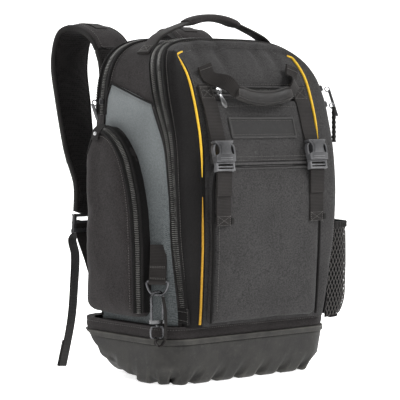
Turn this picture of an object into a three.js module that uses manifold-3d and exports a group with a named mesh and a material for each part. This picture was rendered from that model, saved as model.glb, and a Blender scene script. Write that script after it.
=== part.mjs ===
// Tool backpack on a moulded rubber base: padded cloth body in two compartments, pockets, straps
// and hardware. Millimetres, +Z up, front towards -Y, origin on the floor under the base.
import * as THREE from 'three';
import Module from 'manifold-3d';

const wasm = await Module();
wasm.setup();

// Body: overall sizes
const bodyTop = 497;
const bodyHalfWidth = 166;
const frontReach = 128;
const backReach = 80;
const archStart = 364;
const archPower = 4;
const ridgeDrop = 14;
const panelHalfWidth = 113;
const clothWall = 2.5;
const gap = 0.3;

// Rubber base
const baseSpread = 2;
const baseHalfWidth = bodyHalfWidth + baseSpread;
const baseFront = 108;
const baseBack = 102;
const baseCorner = 46;
const baseHeight = 69;
const rimHeight = 8;
const rimStep = 2.5;
const scoopReach = 25;
const baseFloor = 12;
const bandHeight = 17;
const lugPitch = 44;
const scoopRadius = 8.5;

// Padding, webbing and tape
const backPadThick = 15;
const strapWidth = 73;
const strapThick = 12;
const webWidth = 25;
const frontWebWidth = 28;
const webThick = 2;
const gripThick = 11;
const pipingRadius = 1.7;
const zipThick = 2;
const panelThick = 1.6;

// Pockets
const frontPocketHalfWidth = 108.5;
const frontPocketTop = 315;
const frontPocketLift = 14;
const flapTop = 408;
const flapLift = 12;
const sidePocketHalfWidth = 60;
const sidePocketTop = 368;
const sidePocketBottom = 98;
const sidePocketLift = 27;
const sidePocketMid = -4;
const meshHalfWidth = 66;
const meshTop = 216;
const meshBottom = 92;
const meshLift = 50;
const meshMid = -34;
const meshWall = 1.6;
const hemHeight = 8;
const hemThick = 4;
const holeWidth = 10;
const holeHeight = 16;

// Patch, buckles and handles
const patchHalfWidth = 66;
const patchHeight = 31;
const patchZ = 362;
const patchThick = 3;
const frontStrapX = 94;
const buckleWidth = 42;
const buckleHeight = 30;
const buckleThick = 10;
const ladderHeight = 13;
const frontHandleHalf = 88;
const frontGripHalf = 54;
const topHandleHalf = 119;
const topHandleRise = 39;
const topHandleHeight = bodyTop + topHandleRise;
const topGripHalf = 50;
const handleWidth = 26;

// Hardware
const wireRadius = 1.7;
const ringHalfWidth = 15;
const hookHeight = 40;
const hookWidth = 17;

// Body form by height: half width, seam between the compartments, front panel and rear face,
// as shares of bodyTop, bodyHalfWidth, frontReach and backReach
const bodyForm = [
  { rise: 0.026, width: 0.85, seam: 0.644, front: 0.77, rear: 0.84 },
  { rise: 0.07, width: 0.9, seam: 0.711, front: 0.807, rear: 0.9 },
  { rise: 0.14, width: 0.945, seam: 0.778, front: 0.86, rear: 0.97 },
  { rise: 0.23, width: 0.965, seam: 0.812, front: 0.9, rear: 1 },
  { rise: 0.4, width: 0.985, seam: 0.807, front: 0.98, rear: 1 },
  { rise: 0.55, width: 0.985, seam: 0.798, front: 1, rear: 1 },
  { rise: 0.66, width: 0.97, seam: 0.735, front: 0.98, rear: 1 },
  { rise: 0.72, width: 0.955, seam: 0.663, front: 0.945, rear: 1 },
  { rise: 0.81, width: 0.945, seam: 0.471, front: 0.86, rear: 1 },
  { rise: 0.89, width: 0.94, seam: 0.346, front: 0.75, rear: 1 },
  { rise: 0.935, width: 0.94, seam: 0.25, front: 0.65, rear: 1 },
  { rise: 0.972, width: 0.94, seam: 0.154, front: 0.515, rear: 1 },
  { rise: 1, width: 0.94, seam: 0.096, front: 0.4, rear: 1 },
];

// How far the front corners of the body are rounded off sideways, by height
const cornerForm = [
  { rise: 0.14, cut: 24 },
  { rise: 0.23, cut: 20 },
  { rise: 0.42, cut: 7 },
  { rise: 0.6, cut: 2 },
  { rise: 0.72, cut: 0 },
];

// Front compartment from its seam (0) to the front panel (1): share sideways and share forwards
const frontRoll = [
  { side: 0, forward: 0 },
  { side: 0.03, forward: 0.34 },
  { side: 0.09, forward: 0.62 },
  { side: 0.24, forward: 0.82 },
  { side: 0.55, forward: 0.94 },
  { side: 1, forward: 1 },
];

// Shoulder strap on the right side, from its root over the bend to its lower end; the left one
// mirrors it. Out, back and up are shares of bodyHalfWidth, strapReach and bodyTop.
const strapReach = 118;
const strapRoute = [
  { out: 0.53, back: 0.18, up: 0.879, width: 1 },
  { out: 0.53, back: 0.23, up: 0.94, width: 1 },
  { out: 0.542, back: 0.39, up: 1.004, width: 1 },
  { out: 0.572, back: 0.68, up: 1.036, width: 1 },
  { out: 0.608, back: 0.915, up: 1.02, width: 1 },
  { out: 0.632, back: 1, up: 0.935, width: 1 },
  { out: 0.657, back: 0.87, up: 0.805, width: 0.95 },
  { out: 0.692, back: 0.68, up: 0.662, width: 0.84 },
  { out: 0.746, back: 0.5, up: 0.56, width: 0.68 },
  { out: 0.805, back: 0.41, up: 0.475, width: 0.52 },
];

const clothBlack = new THREE.MeshStandardMaterial({ color: 0x2c2c2c, roughness: 0.9, metalness: 0 });
const clothGrey = new THREE.MeshStandardMaterial({ color: 0x6c7272, roughness: 0.9, metalness: 0 });
const clothMesh = new THREE.MeshStandardMaterial({ color: 0x1a1a1a, roughness: 0.95, metalness: 0 });
const webbing = new THREE.MeshStandardMaterial({ color: 0x262524, roughness: 0.8, metalness: 0 });
const zipTape = new THREE.MeshStandardMaterial({ color: 0x1c1c1c, roughness: 0.6, metalness: 0 });
const piping = new THREE.MeshStandardMaterial({ color: 0xe6b23a, roughness: 0.6, metalness: 0 });
const rubber = new THREE.MeshStandardMaterial({ color: 0x33322f, roughness: 0.75, metalness: 0 });
const plastic = new THREE.MeshStandardMaterial({ color: 0x2f3031, roughness: 0.45, metalness: 0 });
const silver = new THREE.MeshStandardMaterial({ color: 0xb4b4b4, roughness: 0.3, metalness: 1 });
const gunmetal = new THREE.MeshStandardMaterial({ color: 0x55575a, roughness: 0.35, metalness: 1 });

const pack = new THREE.Group();
const { sin, cos, PI } = Math;

// A closed solid from points and triangles; triangles are turned so that faces point outwards
function solidOf(points, triangles) {
  let volume = 0;
  for (const [a, b, c] of triangles) {
    const [p, q, r] = [points[a], points[b], points[c]];
    volume += p[0] * (q[1] * r[2] - q[2] * r[1]);
    volume += p[1] * (q[2] * r[0] - q[0] * r[2]);
    volume += p[2] * (q[0] * r[1] - q[1] * r[0]);
  }
  const turned = volume < 0 ? triangles.map(([a, b, c]) => [a, c, b]) : triangles;
  const vertProperties = new Float32Array(points.flat());
  const triVerts = new Uint32Array(turned.flat());
  return new wasm.Manifold(new wasm.Mesh({ numProp: 3, vertProperties, triVerts }));
}

// Triangles that close a ring: either strips between its left and right halves, or a fan
function capOf(first, count, paired) {
  const triangles = [];
  if (!paired) {
    for (let i = 1; i < count - 1; i++) triangles.push([first, first + i, first + i + 1]);
    return triangles;
  }
  for (let i = 0; i < count / 2 - 1; i++) {
    const mirror = first + count - 1 - i;
    triangles.push([first + i, first + i + 1, mirror]);
    triangles.push([first + i + 1, mirror - 1, mirror]);
  }
  return triangles;
}

// A solid through rings of equal length, closed at both ends
function loft(rings, paired = false) {
  const count = rings[0].length;
  const triangles = capOf(0, count, paired).map(([a, b, c]) => [a, c, b]);
  for (let k = 0; k < rings.length - 1; k++) {
    for (let i = 0; i < count; i++) {
      const a = k * count + i;
      const b = k * count + ((i + 1) % count);
      triangles.push([a, b, b + count], [a, b + count, a + count]);
    }
  }
  triangles.push(...capOf((rings.length - 1) * count, count, paired));
  return solidOf(rings.flat(), triangles);
}

// The largest body of a solid, where a cut leaves crumbs
function largest(solid) {
  const bodies = solid.decompose();
  return bodies.reduce((best, body) => (body.volume() > best.volume() ? body : best));
}

function geometryOf(solid) {
  const mesh = solid.getMesh();
  const geometry = new THREE.BufferGeometry();
  geometry.setAttribute('position', new THREE.BufferAttribute(mesh.vertProperties, 3));
  geometry.setIndex(new THREE.BufferAttribute(mesh.triVerts, 1));
  return geometry;
}

function add(name, solid, material, group = pack) {
  const mesh = new THREE.Mesh(geometryOf(largest(solid)), material);
  mesh.name = name;
  group.add(mesh);
  return mesh;
}

// A solid from a closed three.js geometry, moved and turned
function fromGeometry(geometry, at = [0, 0, 0], turn = [0, 0, 0]) {
  const placed = geometry.clone();
  placed.applyMatrix4(new THREE.Matrix4().makeRotationFromEuler(new THREE.Euler(...turn)));
  placed.translate(...at);
  const position = placed.attributes.position;
  const keys = new Map();
  const points = [];
  const number = [];
  for (let i = 0; i < position.count; i++) {
    const point = [position.getX(i), position.getY(i), position.getZ(i)];
    const key = point.map((value) => Math.round(value * 1e4)).join();
    if (!keys.has(key)) {
      keys.set(key, points.length);
      points.push(point);
    }
    number.push(keys.get(key));
  }
  const order = placed.index ? Array.from(placed.index.array) : number.map((_, i) => i);
  const triangles = [];
  for (let i = 0; i < order.length; i += 3) {
    const corner = [number[order[i]], number[order[i + 1]], number[order[i + 2]]];
    if (new Set(corner).size === 3) triangles.push(corner);
  }
  return solidOf(points, triangles);
}

function box(width, depth, height, at = [0, 0, 0], turn = [0, 0, 0]) {
  return fromGeometry(new THREE.BoxGeometry(width, depth, height), at, turn);
}

// Value between the rows of a table
function between(table, column, rise, key = 'rise') {
  const last = table.length - 1;
  if (rise <= table[0][key]) return table[0][column];
  if (rise >= table[last][key]) return table[last][column];
  const next = table.findIndex((row) => row[key] > rise);
  const [low, high] = [table[next - 1], table[next]];
  const share = (rise - low[key]) / (high[key] - low[key]);
  return low[column] + (high[column] - low[column]) * share;
}

const seamY = (z) => -frontReach * between(bodyForm, 'seam', z / bodyTop);
const frontY = (z) => -frontReach * between(bodyForm, 'front', z / bodyTop);
const cornerCut = (z) => between(cornerForm, 'cut', z / bodyTop);

// Half width of the body's outline at a height
function outlineX(z) {
  const arch = Math.min(1, Math.max(0, (z - archStart) / (bodyTop - archStart)));
  const width = bodyHalfWidth * between(bodyForm, 'width', z / bodyTop);
  return width * (1 - arch ** archPower) ** (1 / archPower);
}

// Right half of the outline from the bottom up, each point with its outward direction
function outline(bottom, sideSteps = 7, archSteps = 8) {
  const points = [];
  for (let i = 0; i < sideSteps; i++) {
    const z = bottom + ((archStart - bottom) * i) / sideSteps;
    points.push({ x: outlineX(z), z });
  }
  for (let i = 0; i <= archSteps; i++) {
    const angle = (i / (archSteps + 0.25)) * (PI / 2);
    const z = archStart + (bodyTop - archStart) * sin(angle) ** (2 / archPower);
    points.push({ x: outlineX(z), z });
  }
  return points.map((point, i) => {
    const before = points[Math.max(0, i - 1)];
    const after = points[Math.min(points.length - 1, i + 1)];
    const length = Math.hypot(after.x - before.x, after.z - before.z);
    const nx = (after.z - before.z) / length;
    const nz = (before.x - after.x) / length;
    return { ...point, nx, nz };
  });
}

// A ring of both halves: left side from the bottom up, then down the right side
function mirrored(half) {
  const left = half.map(([x, y, z]) => [-x, y, z]);
  return [...left, ...half.slice().reverse()];
}

// Rear compartment, grown by a distance, from the floor of the base to the top. Its rear edges
// are rolled more at the foot, where the body stands in the base's round corners.
const mainBottom = baseFloor + 1;
const footBlend = 80;
const bandTop = baseHeight + gap + bandHeight;
const rearRoll = [
  { inset: 24, depth: 0, footInset: 46, footDepth: 0 },
  { inset: 11, depth: 3, footInset: 26, footDepth: 5 },
  { inset: 3, depth: 10, footInset: 10, footDepth: 17 },
  { inset: 0, depth: 24, footInset: 0, footDepth: 42 },
];
const rearY = (z) => backReach * between(bodyForm, 'rear', z / bodyTop);
function mainSolid(grow, bottom = mainBottom) {
  const half = outline(bottom - Math.min(0, grow));
  const rearRing = (roll) =>
    mirrored(half.map((p) => {
      const foot = 1 - Math.min(1, Math.max(0, (p.z - bandTop) / footBlend));
      const off = grow - roll.inset - (roll.footInset - roll.inset) * foot;
      const depth = roll.depth + (roll.footDepth - roll.depth) * foot;
      return [p.x + p.nx * off, rearY(p.z) - depth + grow, p.z + p.nz * off];
    }));
  const frontRing = (behind, cutShare) =>
    mirrored(half.map((p) => {
      const off = grow - cutShare * cornerCut(p.z);
      return [p.x + p.nx * off, seamY(p.z) + behind - grow, p.z + p.nz * grow];
    }));
  const rings = [...rearRoll.map(rearRing), frontRing(34, 0), frontRing(12, 0.35), frontRing(0, 1)];
  return loft(rings, true);
}

// Front compartment, grown by a distance, from the band to the top ridge
const frontBottom = bandTop + gap;
function frontPoint(p, roll, grow) {
  const x = p.x - cornerCut(p.z) + p.nx * grow;
  const arch = Math.max(0, (p.z - archStart) / (bodyTop - archStart));
  const z = p.z + p.nz * grow - ridgeDrop * roll.side * arch;
  const inner = Math.min(x, panelHalfWidth + grow);
  const seam = seamY(p.z);
  const forward = (frontY(z) - seam) * roll.forward - grow * Math.sign(roll.forward);
  return [x + (inner - x) * roll.side, seam + forward, z];
}
function frontSolid(grow, bottom = frontBottom) {
  const half = outline(bottom - Math.min(0, grow));
  const rings = frontRoll.map((roll) => mirrored(half.map((p) => frontPoint(p, roll, grow))));
  return loft(rings, true);
}

// Room that the front compartment takes up, with a clearance all round
function frontRoom(clearance) {
  const grown = frontSolid(clearance);
  return grown.add(grown.translate([0, clearance, 0]));
}

// A tall box used to cut pieces out of a skin
function slab([x0, x1], [y0, y1], [z0, z1]) {
  return box(x1 - x0, y1 - y0, z1 - z0, [(x0 + x1) / 2, (y0 + y1) / 2, (z0 + z1) / 2]);
}

// A prism of an outline drawn in the plane across one axis ('x' or 'y')
function prism(corners, axis, from, to) {
  const ring = (depth) => corners.map(([u, z]) => (axis === 'x' ? [depth, u, z] : [u, depth, z]));
  return loft([ring(from), ring(to)]);
}

// A band swept along rows of points: at, across (width direction), width and thickness
function ribbon(rows, steps, rounded = false) {
  const curve = new THREE.CatmullRomCurve3(rows.map((row) => new THREE.Vector3(...row.at)));
  curve.curveType = 'centripetal';
  const rings = [];
  for (let i = 0; i <= steps; i++) {
    const share = i / steps;
    const place = share * (rows.length - 1);
    const k = Math.min(rows.length - 2, Math.floor(place));
    const mix = (key) => rows[k][key] + (rows[k + 1][key] - rows[k][key]) * (place - k);
    const tangent = curve.getTangent(share);
    const across = new THREE.Vector3(...rows[k].across).lerp(
      new THREE.Vector3(...rows[k + 1].across), place - k);
    across.addScaledVector(tangent, -across.dot(tangent)).normalize();
    const normal = new THREE.Vector3().crossVectors(tangent, across);
    const [w, t] = [mix('width') / 2, mix('thick') / 2];
    const round = [[-1, 0.35], [-0.9, 0.95], [0.9, 0.95], [1, 0.35]];
    const flat = [[-1, 1], [1, 1]];
    const upper = rounded ? round : flat;
    const lower = upper.map(([u, v]) => [u, -v]).reverse();
    const centre = curve.getPoint(share);
    rings.push([...upper, ...lower].map(([u, v]) => {
      const point = centre.clone().addScaledVector(across, u * w).addScaledVector(normal, v * t);
      return point.toArray();
    }));
  }
  return loft(rings);
}

// A round wire or bead of piping along points
function wire(points, radius, steps, closed = false, sides = 6) {
  const curve = new THREE.CatmullRomCurve3(points.map((p) => new THREE.Vector3(...p)), closed);
  const shape = new THREE.Shape();
  for (let i = 0; i < sides; i++) {
    const angle = (i / sides) * 2 * PI;
    const [x, y] = [radius * cos(angle), radius * sin(angle)];
    if (i === 0) shape.moveTo(x, y);
    else shape.lineTo(x, y);
  }
  const settings = { steps, extrudePath: curve, curveSegments: 1, bevelEnabled: false };
  return fromGeometry(new THREE.ExtrudeGeometry(shape, settings));
}

// A soft raised piece over a face. The outline is a rounded rectangle (half width, bottom, top,
// corner radii); rows give inset and lift; place turns (side, height, lift) into a point.
function puffed({ half, bottom, top, lower, upper }, rows, place) {
  const rings = rows.map(({ inset, lift }) => {
    const points = [];
    const [w, b, t] = [half - inset, bottom + inset, top - inset];
    const [rl, ru] = [Math.max(1, lower - inset), Math.max(1, upper - inset)];
    for (let i = 0; i <= 4; i++) {
      const angle = (i / 4) * (PI / 2);
      points.push([w - rl + rl * sin(angle + 0.02), b + rl - rl * cos(angle)]);
    }
    for (let i = 1; i < 4; i++) points.push([w, b + rl + ((t - ru - b - rl) * i) / 4]);
    for (let i = 0; i <= 5; i++) {
      const angle = (i / 5) * (PI / 2);
      points.push([w - ru + ru * cos(angle - 0.02), t - ru + ru * sin(angle)]);
    }
    const right = points.map(([u, z]) => place(u, z, lift));
    const left = points.map(([u, z]) => place(-u, z, lift));
    return [...left, ...right.reverse()];
  });
  return loft(rings, true);
}

// Rubber base: rounded rectangles by height, drawn in at the foot
function planRing(half, front, back, corner, z) {
  const ring = [];
  const centres = [[1, -1], [1, 1], [-1, 1], [-1, -1]];
  centres.forEach(([sx, sy], q) => {
    const cx = sx * (half - corner);
    const cy = sy < 0 ? -front + corner : back - corner;
    for (let i = 0; i <= 6; i++) {
      const angle = (q - 1) * (PI / 2) + (i / 6) * (PI / 2);
      ring.push([cx + corner * cos(angle), cy + corner * sin(angle), z]);
    }
  });
  return ring;
}
const baseForm = [
  { z: 0, inset: 15 },
  { z: 0.06, inset: 11 },
  { z: 0.3, inset: 6 },
  { z: 0.85, inset: 0 },
];
function baseRing(z, inset) {
  const [half, front, back] = [baseHalfWidth - inset, baseFront - inset, baseBack - inset];
  return planRing(half, front, back, baseCorner - inset / 2, z);
}
function scoops() {
  const cutters = [];
  const cut = (x, y, turn) => {
    const cylinder = new THREE.CylinderGeometry(scoopRadius, scoopRadius, scoopReach * 2, 8);
    cylinder.rotateX(PI / 2 - PI / 4);
    cylinder.rotateY(0.35);
    cylinder.rotateZ(turn);
    cutters.push(fromGeometry(cylinder, [x, y, -scoopRadius * 0.55]));
  };
  const frontCount = Math.round((2 * (baseHalfWidth - baseCorner)) / lugPitch);
  const [foot, side] = [baseFront - 13, baseHalfWidth - 13];
  for (let i = 0; i <= frontCount; i++) {
    const x = (i - frontCount / 2) * lugPitch;
    cut(x, -foot, 0);
    cut(x, baseBack - 13, PI);
  }
  const sideCount = Math.round((baseFront + baseBack - 2 * baseCorner) / lugPitch);
  for (let i = 0; i <= sideCount; i++) {
    const y = (baseBack - baseFront) / 2 + (i - sideCount / 2) * lugPitch;
    cut(side, y, PI / 2);
    cut(-side, y, -PI / 2);
  }
  return cutters;
}
function baseTub() {
  const rings = baseForm.map(({ z, inset }) => baseRing(z * baseHeight, inset));
  rings.push(baseRing(baseHeight - rimHeight, 0));
  rings.push(baseRing(baseHeight - rimHeight, -rimStep));
  rings.push(baseRing(baseHeight, -rimStep));
  let tub = loft(rings);
  const hollow = mainSolid(gap + 0.4).intersect(slab([-400, 400], [-400, 400], [0, baseHeight + 9]));
  tub = tub.subtract(hollow);
  for (const side of [-1, 1]) {
    const corner = box(200, 200, 120, [0, 0, 0], [0.5, side * 0.42, side * 0.55]);
    tub = tub.subtract(corner.translate([side * 186, 160, -44]));
  }
  for (const cutter of scoops()) tub = tub.subtract(cutter);
  return tub;
}
function baseBand() {
  const outer = (z) => baseRing(z, 0.5);
  const ring = loft([outer(baseHeight + gap), outer(bandTop)]);
  return ring.subtract(mainSolid(gap));
}

// Body shells: cloth walls round a hollow, open where another piece closes them
function mainShell() {
  const window = slab([-bodyHalfWidth * 0.7, bodyHalfWidth * 0.7], [backReach - 20, backReach + 20],
    [bodyTop * 0.2, bodyTop * 0.86]);
  return mainSolid(0).subtract(mainSolid(-clothWall)).subtract(window);
}
function frontShell() {
  const inner = frontSolid(-clothWall);
  const behind = inner.translate([0, clothWall * 2, 0]);
  return frontSolid(0).subtract(inner).subtract(behind).subtract(mainSolid(gap));
}

// Skins: thin pieces that lie on a compartment, cut out of a grown copy of it
function mainSkin(thick, cutter) {
  return mainSolid(gap + thick).subtract(mainSolid(gap)).intersect(cutter);
}
function frontSkin(thick) {
  return frontSolid(gap + thick).subtract(frontSolid(gap)).subtract(mainSolid(gap));
}

add('base_tub', baseTub(), rubber);
add('base_band', baseBand(), clothBlack);
add('main_bag', mainShell(), clothBlack);
add('front_bag', frontShell(), clothBlack);

// Padded back panel
const backPad = { half: 122, bottom: 96, top: 480, lower: 34, upper: 88 };
const backPadRows = [
  { inset: 0, lift: gap },
  { inset: 0, lift: backPadThick * 0.4 },
  { inset: 3, lift: backPadThick * 0.75 },
  { inset: 8, lift: backPadThick * 0.95 },
  { inset: 14, lift: backPadThick },
];
add('back_panel', puffed(backPad, backPadRows, (u, z, lift) => [u, backReach + lift, z]), clothMesh);

// Side panels of grey cloth, from the rear zip forward to the seam
const sidePanelTop = 432;
const sidePanelFrontTop = 402;
const sidePanelBack = 46;
const panelOutline = [
  [sidePanelBack - 10, sidePanelTop],
  [-frontReach * 0.55, sidePanelFrontTop],
  [-frontReach - 10, sidePanelFrontTop - 40],
  [-frontReach - 10, bandTop + gap],
  [sidePanelBack, bandTop + gap],
  [sidePanelBack, sidePanelTop - 30],
];
const onSide = mainSolid(gap + panelThick + gap);
function sidePanel(side) {
  const [near, far] = [side * 80, side * 220];
  const cutter = prism(panelOutline, 'x', Math.min(near, far), Math.max(near, far));
  return mainSkin(panelThick, cutter).subtract(frontRoom(2 * gap + zipThick + gap));
}
add('side_panel_left', sidePanel(-1), clothGrey);
add('side_panel_right', sidePanel(1), clothGrey);

// Rear zip round the top of the rear compartment
const rearZipMid = 54;
const rearZipEnd = 386;
add('rear_zip', mainSkin(zipThick, slab([-200, 200], [rearZipMid - 6, rearZipMid + 6],
  [rearZipEnd, bodyTop + 20])), zipTape);

// Expansion zip beside the seam of the front compartment
const zipRoll = { side: 0.09, forward: 0.62 };
function expansionZip() {
  const half = outline(frontBottom - 20).map((p) => frontPoint(p, zipRoll, 0));
  const ring = mirrored(half).map(([x, , z]) => [x, z]);
  const cut = loft([ring.map(([x, z]) => [x, -300, z]), ring.map(([x, z]) => [x, 40, z])], true);
  return frontSkin(zipThick).subtract(cut).subtract(onSide);
}
add('expansion_zip', expansionZip(), zipTape);

// Yellow piping along the edges of the front panel
function pipingRun(side, top, bottom) {
  const count = Math.max(3, Math.round((top - bottom) / 24));
  const points = [];
  for (let i = 0; i <= count; i++) {
    const z = top + ((bottom - top) * i) / count;
    points.push([side * (panelHalfWidth + 1.2), frontY(z) - pipingRadius * 0.7, z]);
  }
  return wire(points, pipingRadius, count).subtract(frontSolid(gap));
}
const pipingTop = 476;
add('piping_left_upper', pipingRun(-1, pipingTop, 312), piping);
add('piping_left_lower', pipingRun(-1, 268, bandTop + 4), piping);
add('piping_right_upper', pipingRun(1, pipingTop, 356), piping);

// A padded piece over a face: filled and grown, or as a cup of cloth open to the body
function padRows(depth, roll, grow, lowest) {
  return [
    { inset: -grow, lift: lowest },
    { inset: -grow, lift: depth - roll + grow },
    { inset: 0.12 * roll - grow, lift: depth - 0.55 * roll + grow },
    { inset: 0.45 * roll - grow, lift: depth - 0.17 * roll + grow },
    { inset: roll - grow, lift: depth + grow },
  ];
}
function cup(form, depth, roll, place, lowest, wall = clothWall) {
  const outer = puffed(form, padRows(depth, roll, 0, lowest), place);
  return outer.subtract(puffed(form, padRows(depth, roll, -wall, lowest - 9), place));
}

// Front pocket and the padded flap above it
const frontPlace = (u, z, lift) => [u, frontY(z) - lift, z];
const pocketForm = {
  half: frontPocketHalfWidth,
  bottom: bandTop + 3,
  top: frontPocketTop,
  lower: 10,
  upper: 24,
};
const flapBottom = frontPocketTop + 2;
const flapForm = { half: frontPocketHalfWidth - 6, bottom: flapBottom, top: flapTop, lower: 6, upper: 14 };
const flapShare = (z) => 1 - (0.7 * (z - flapBottom)) / (flapTop - flapBottom);
const flapPlace = (u, z, lift) => [u, frontY(z) - (lift < 0 ? lift : lift * flapShare(z)), z];
const pocketSolid = (grow) => puffed(pocketForm, padRows(frontPocketLift, 9, grow, -9), frontPlace);
const flapSolid = (grow) => puffed(flapForm, padRows(flapLift, 6, grow, -9), flapPlace);
const frontPocket = cup(pocketForm, frontPocketLift, 9, frontPlace, -9).subtract(frontSolid(gap));
add('front_pocket', frontPocket.subtract(flapSolid(gap)), clothBlack);
add('front_flap', cup(flapForm, flapLift, 6, flapPlace, -9).subtract(frontSolid(gap)), clothBlack);

// Zip of the top pocket, and its pull
const slitHeight = 9;
const slitZ = flapTop + 14;
function topPocketZip() {
  const cutter = slab([-100, 84], [-200, -40], [slitZ - slitHeight / 2, slitZ + slitHeight / 2]);
  return frontSkin(zipThick).intersect(cutter);
}
add('top_pocket_zip', topPocketZip(), zipTape);

// Outer surface of the front, over flap and pocket
function outerY(z) {
  if (z > flapTop + 2) return frontY(z);
  if (z > flapBottom) return frontY(z) - flapLift * flapShare(z);
  return frontY(z) - frontPocketLift;
}

// Blank patch on the flap
const patchForm = {
  half: patchHalfWidth,
  bottom: patchZ - patchHeight / 2,
  top: patchZ + patchHeight / 2,
  lower: 3,
  upper: 3,
};
const patchRows = [
  { inset: 0, lift: -4 },
  { inset: 0, lift: patchThick },
  { inset: 2, lift: patchThick + 0.6 },
];
const patchPlace = (u, z, lift) => [u, outerY(z) - lift, z];
add('patch', puffed(patchForm, patchRows, patchPlace).subtract(flapSolid(gap)), plastic);

// Compression straps and their buckles
const upperStrapTop = slitZ + slitHeight / 2 + 4;
const buckleTop = 350;
const buckleLow = buckleTop - buckleHeight;
const lowerStrapEnd = 232;
const strapRise = 1.8;
const webOff = webThick / 2 + gap + 0.5;
function strapY(z) {
  const [top, low] = [buckleTop, buckleLow - ladderHeight];
  if (z > top + 4 || z < low - 4) return outerY(z);
  const share = (top - z) / (top - low);
  return outerY(top) + (outerY(low) - outerY(top)) * share - strapRise;
}
function frontWeb(x, top, bottom) {
  const count = Math.max(2, Math.round((top - bottom) / 12));
  const rows = [];
  for (let i = 0; i <= count; i++) {
    const z = top + ((bottom - top) * i) / count;
    const y = strapY(z) - webOff;
    rows.push({ at: [x, y, z], across: [1, 0, 0], width: frontWebWidth, thick: webThick });
  }
  const cut = frontSolid(gap).add(flapSolid(gap)).add(pocketSolid(gap));
  return ribbon(rows, count * 2).subtract(cut);
}
function buckle() {
  const half = buckleWidth / 2;
  const low = -buckleHeight;
  const body = [[-half * 0.88, 0], [half * 0.88, 0], [half, -5], [half * 0.8, low], [-half * 0.8, low],
    [-half, -5]];
  let solid = prism(body, 'y', -buckleThick, 0);
  for (const side of [-1, 1]) {
    const window = [[side * half * 0.95, -10], [side * half * 0.5, -10], [side * half * 0.5, -25],
      [side * half * 0.9, -25]];
    solid = solid.subtract(prism(window, 'y', -buckleThick * 2, buckleThick));
  }
  return solid.subtract(slab([-half * 0.75, half * 0.75], [-buckleThick * 0.6, -buckleThick * 0.3], [-6, 4]));
}
function ladder() {
  const half = buckleWidth * 0.4;
  const bar = slab([-half, half], [-buckleThick * 0.62, 0], [-ladderHeight, -gap]);
  const slot = (z) => slab([-half + 3.5, half - 3.5], [-20, 20], [z - 3.4, z]);
  return bar.subtract(slot(-3)).subtract(slot(-10));
}
function leaned(solid, x, top, low, off) {
  const [upper, lower] = [outerY(top), outerY(low)];
  const angle = (Math.atan2(lower - upper, top - low) * 180) / PI;
  return solid.rotate([angle, 0, 0]).translate([x, upper - off, top]);
}
const buckleOff = strapRise + webOff + webThick / 2 + 2 * gap;
const onStrap = (solid, x) => leaned(solid, x, buckleTop, buckleLow - ladderHeight, buckleOff);
for (const [word, side] of [['left', -1], ['right', 1]]) {
  const x = side * frontStrapX;
  const upper = frontWeb(x, upperStrapTop, buckleTop - 14).subtract(
    slab([x - 30, x + 30], [-400, 0], [slitZ - 9, slitZ + 9]).intersect(frontSolid(gap * 2 + zipThick)));
  add(`front_strap_upper_${word}`, upper, webbing);
  const lower = frontWeb(x, buckleLow + 2, lowerStrapEnd);
  add(`front_strap_lower_${word}`, lower, webbing);
  add(`buckle_${word}`, onStrap(buckle(), x), plastic);
  add(`buckle_ladder_${word}`, onStrap(ladder().translate([0, 0, -buckleHeight]), x), plastic);
}

// A grip bent downwards at its ends, grown by a distance
function grip(form, grow = 0) {
  const rows = [-1, -0.5, 0, 0.5, 1].map((share) => ({
    at: [share * (form.half + grow), form.y, form.z - form.sag * share * share],
    across: form.across,
    width: form.width + 2 * grow,
    thick: form.thick + 2 * grow,
  }));
  return ribbon(rows, 12, true);
}

// Front grab handle: webbing from both roots to a ribbed grip
const frontHandleRoot = 450;
const frontGripZ = 421;
const frontGripOut = 24;
const gripY = frontY(frontGripZ) - frontGripOut;
const frontGrip = {
  half: frontGripHalf,
  y: gripY,
  z: frontGripZ - 4,
  sag: -4,
  width: 21,
  thick: gripThick,
  across: [0, 0.3, 1],
};
for (const [word, side] of [['left', -1], ['right', 1]]) {
  const width = webWidth;
  const thick = webThick * 1.5;
  const root = frontY(frontHandleRoot);
  const rows = [
    { at: [side * (frontHandleHalf + 1), root - 2.6, frontHandleRoot + 9], across: [side * 0.95, 0, -0.3] },
    { at: [side * (frontHandleHalf - 5), root - 7, frontHandleRoot - 8], across: [side * 0.85, 0, -0.5] },
    { at: [side * (frontGripHalf + 14), gripY + 4, frontGripZ + 12], across: [side * 0.6, 0.1, -0.8] },
    { at: [side * (frontGripHalf + gap), gripY, frontGripZ], across: [side * 0.1, 0.2, -1] },
  ];
  const webRows = rows.map((row, i) => ({ ...row, width: i > 1 ? width * 0.8 : width, thick }));
  const clear = frontSolid(gap).add(grip(frontGrip, gap));
  add(`front_handle_${word}`, ribbon(webRows, 9).subtract(clear), webbing);
}
add('front_grip', grip(frontGrip), rubber);

// Top carry handle
const topHandleY = -8;
const topCrown = topHandleHeight - gripThick / 2;
const topGrip = {
  half: topGripHalf,
  y: topHandleY,
  z: topCrown,
  sag: 9,
  width: handleWidth * 1.1,
  thick: gripThick,
  across: [0, 1, 0],
};
for (const [word, side] of [['left', -1], ['right', 1]]) {
  const foot = topHandleHalf;
  const rows = [
    { at: [side * (foot + 14), topHandleY, outlineZ(foot + 14) + 2], width: handleWidth },
    { at: [side * foot, topHandleY, outlineZ(foot) + 4], width: handleWidth },
    { at: [side * (foot - 14), topHandleY, outlineZ(foot) + 17], width: handleWidth * 0.9 },
    { at: [side * (topGripHalf + gap), topHandleY, topCrown - 9], width: handleWidth * 0.8 },
  ].map((row) => ({ ...row, across: [0, 1, 0], thick: 4 }));
  const cut = mainSolid(gap).add(frontRoom(gap + zipThick + gap)).add(grip(topGrip, gap));
  add(`top_handle_${word}`, ribbon(rows, 10).subtract(cut), webbing);
}
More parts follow.
